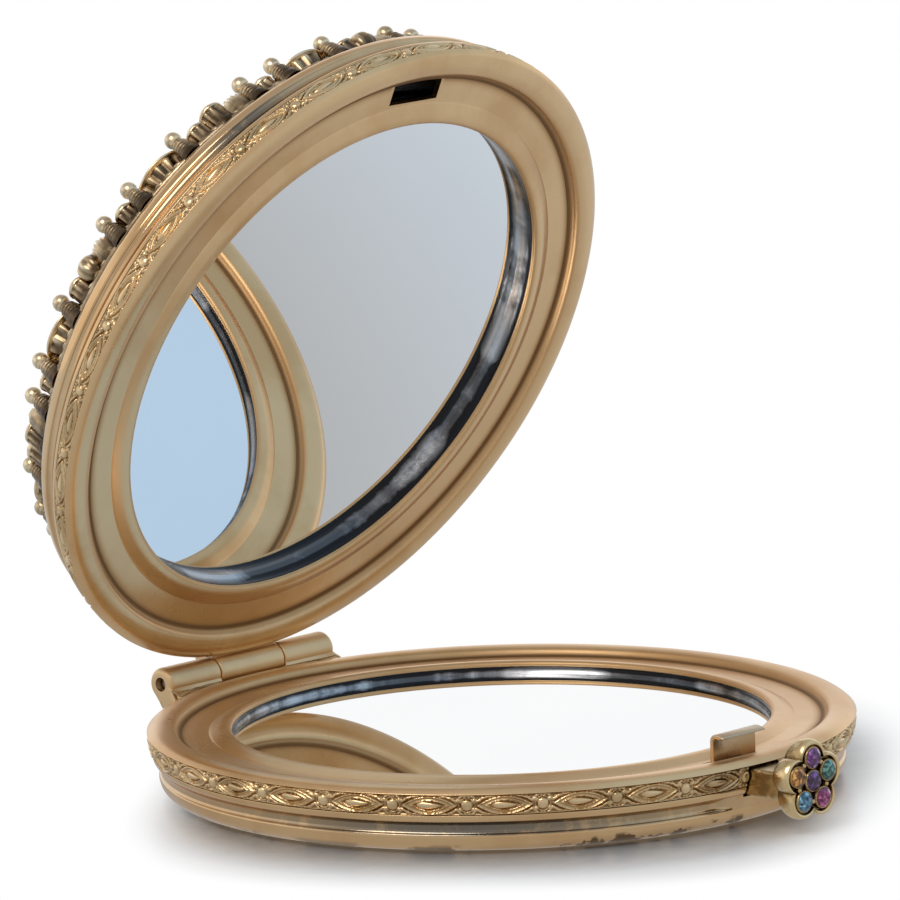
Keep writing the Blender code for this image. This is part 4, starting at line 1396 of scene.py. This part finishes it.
def floorMaterial():
    # a shiny white table near the piece, with a painted shadow under its foot, that fades to plain white
    # away from it in a rounded square; in the piece's own reflections it glows grey, darker near the piece
    # as painted shade, and grey-blue farther off
    look = stageLook
    made, tree, shader = newMaterial("paleFloor", Roughness=0.22)
    place = addNode(tree, "TexCoord").outputs["Object"]
    length = vectorMath(tree, "LENGTH", place, output="Value")
    grain = calculate(tree, "MULTIPLY_ADD", noiseOn(tree, 400.0, 3.0), 0.002, length)
    # painted shadow: the table's colour darkens towards the piece's foot
    contactShadow = mapped(tree, grain, look["contactFrom"], look["contactTo"], look["contactShadow"], look["tone"])
    tree.links.new(contactShadow, shader.inputs["Base Color"])
    links = {"Vector": place, "Rotation": (0, 0, look["turn"]), "Location": (-look["shift"], 0, 0)}
    aligned = addNode(tree, "Mapping", links).outputs["Vector"]
    shares = vectorMath(tree, "MULTIPLY", aligned, (1 / look["halfWidth"], 1 / look["halfDepth"], 0))
    squares = vectorMath(tree, "MULTIPLY", shares, shares)
    sizes = vectorMath(tree, "ABSOLUTE", shares)
    reach = vectorMath(tree, "DOT_PRODUCT", squares, sizes, output="Value")
    fade = mapped(tree, reach, look["fadeFrom"], 1.0, smooth=True)
    path = addNode(tree, "LightPath")
    factor = calculate(tree, "MULTIPLY", fade, path.outputs["Is Camera Ray"])
    white = addNode(tree, "Emission", {"Color": (1, 1, 1, 1), "Strength": 1.0})
    # painted shade: in reflections the table is darker grey near the piece
    tone = mixColours(tree, mapped(tree, length, 0.03, 0.10), look["reflectedNearShade"], look["reflectedFar"])
    grey = addNode(tree, "Emission", {"Color": tone, "Strength": 1.0})
    seen = addNode(tree, "MixShader", {0: factor, 1: shader.outputs["BSDF"], 2: white.outputs["Emission"]})
    links = {0: path.outputs["Is Glossy Ray"], 1: seen.outputs["Shader"], 2: grey.outputs["Emission"]}
    mixed = addNode(tree, "MixShader", links)
    tree.links.new(mixed.outputs["Shader"], tree.nodes["Material Output"].inputs["Surface"])
    return made


floorMesh = bpy.data.meshes.new("floor")
side = stageLook["size"]
floorCorners = [(-side, -side, 0), (side, -side, 0), (side, side, 0), (-side, side, 0)]
floorMesh.from_pydata(floorCorners, [], [(0, 1, 2, 3)])
floorMesh.materials.append(floorMaterial())
floor = bpy.data.objects.new("floor", floorMesh)
scene.collection.objects.link(floor)

worldLook = {
    "horizon": (1.0, 1.0, 1.0),
    "top": (0.46, 0.46, 0.48),
    # patches as colour, direction, and where their edge starts and ends
    "patches": [
        ((0.58, 0.57, 0.57), (-0.70, -0.70, 0.10), 0.20, 0.75),
        ((0.54, 0.69, 0.85), (0.53, -0.53, 0.66), 0.55, 0.92),
    ],
}


def makeWorld():
    # white at the far horizon, grey overhead and behind the camera, and a pale blue patch
    # at the front right; the camera itself sees white
    world = bpy.data.worlds.new("studio")
    world.use_nodes = True
    tree = world.node_tree
    unit = vectorMath(tree, "NORMALIZE", addNode(tree, "TexCoord").outputs["Generated"])
    height = addNode(tree, "SeparateXYZ", {0: unit}).outputs["Z"]
    rise = mapped(tree, height, 0.25, 0.75, smooth=True)
    colour = mixColours(tree, rise, worldLook["horizon"], worldLook["top"])
    for patch, toward, low, high in worldLook["patches"]:
        near = vectorMath(tree, "DOT_PRODUCT", unit, tuple(Vector(toward).normalized()), output="Value")
        colour = mixColours(tree, mapped(tree, near, low, high, smooth=True), colour, patch)
    path = addNode(tree, "LightPath")
    shown = mixColours(tree, path.outputs["Is Camera Ray"], colour, (1.0, 1.0, 1.0))
    tree.links.new(shown, tree.nodes["Background"].inputs["Color"])
    return world


scene.world = makeWorld()

lampLook = {
    "place": (-0.42, -0.05, 0.50), "aim": (0, 0, 0.03), "size": 0.40, "power": 1.6,
    "colour": (1.0, 0.98, 0.95),
}


def addLamp():
    light = bpy.data.lights.new("keySoft", "AREA")
    light.shape = "DISK"
    light.size = lampLook["size"]
    light.energy = lampLook["power"]
    light.color = lampLook["colour"]
    lamp = bpy.data.objects.new("keySoft", light)
    lamp.location = lampLook["place"]
    lamp.rotation_mode = "QUATERNION"
    toward = Vector(lampLook["aim"]) - Vector(lampLook["place"])
    lamp.rotation_quaternion = toward.to_track_quat("-Z", "Y")
    scene.collection.objects.link(lamp)


addLamp()

viewLook = {
    "azimuth": -45.593, "elevation": 10.207, "roll": -1.874, "distance": 900.098,
    "right": -5.261, "up": 32.464, "lens": 365.28,
}


def addCamera():
    # the camera looks at the case from its front left, set back along one direction and
    # slid right and up across it
    a, e, r = (math.radians(viewLook[key]) for key in ("azimuth", "elevation", "roll"))
    back = Vector((math.sin(a) * math.cos(e), -math.cos(a) * math.cos(e), math.sin(e)))
    flat = Vector((math.cos(a), math.sin(a), 0))
    tall = back.cross(flat)
    right = flat * math.cos(r) + tall * math.sin(r)
    up = tall * math.cos(r) - flat * math.sin(r)
    spot = (back * viewLook["distance"] + right * viewLook["right"] + up * viewLook["up"]) * mm
    lens = bpy.data.cameras.new("camera")
    lens.lens = viewLook["lens"]
    lens.sensor_width = 36.0
    lens.clip_start = 0.05
    lens.clip_end = 20.0
    camera = bpy.data.objects.new("camera", lens)
    turn = Matrix((right, up, back)).transposed()
    camera.matrix_world = Matrix.Translation(spot) @ turn.to_4x4()
    scene.collection.objects.link(camera)
    scene.camera = camera


addCamera()
scene.view_settings.view_transform = "Standard"
print("stage set")
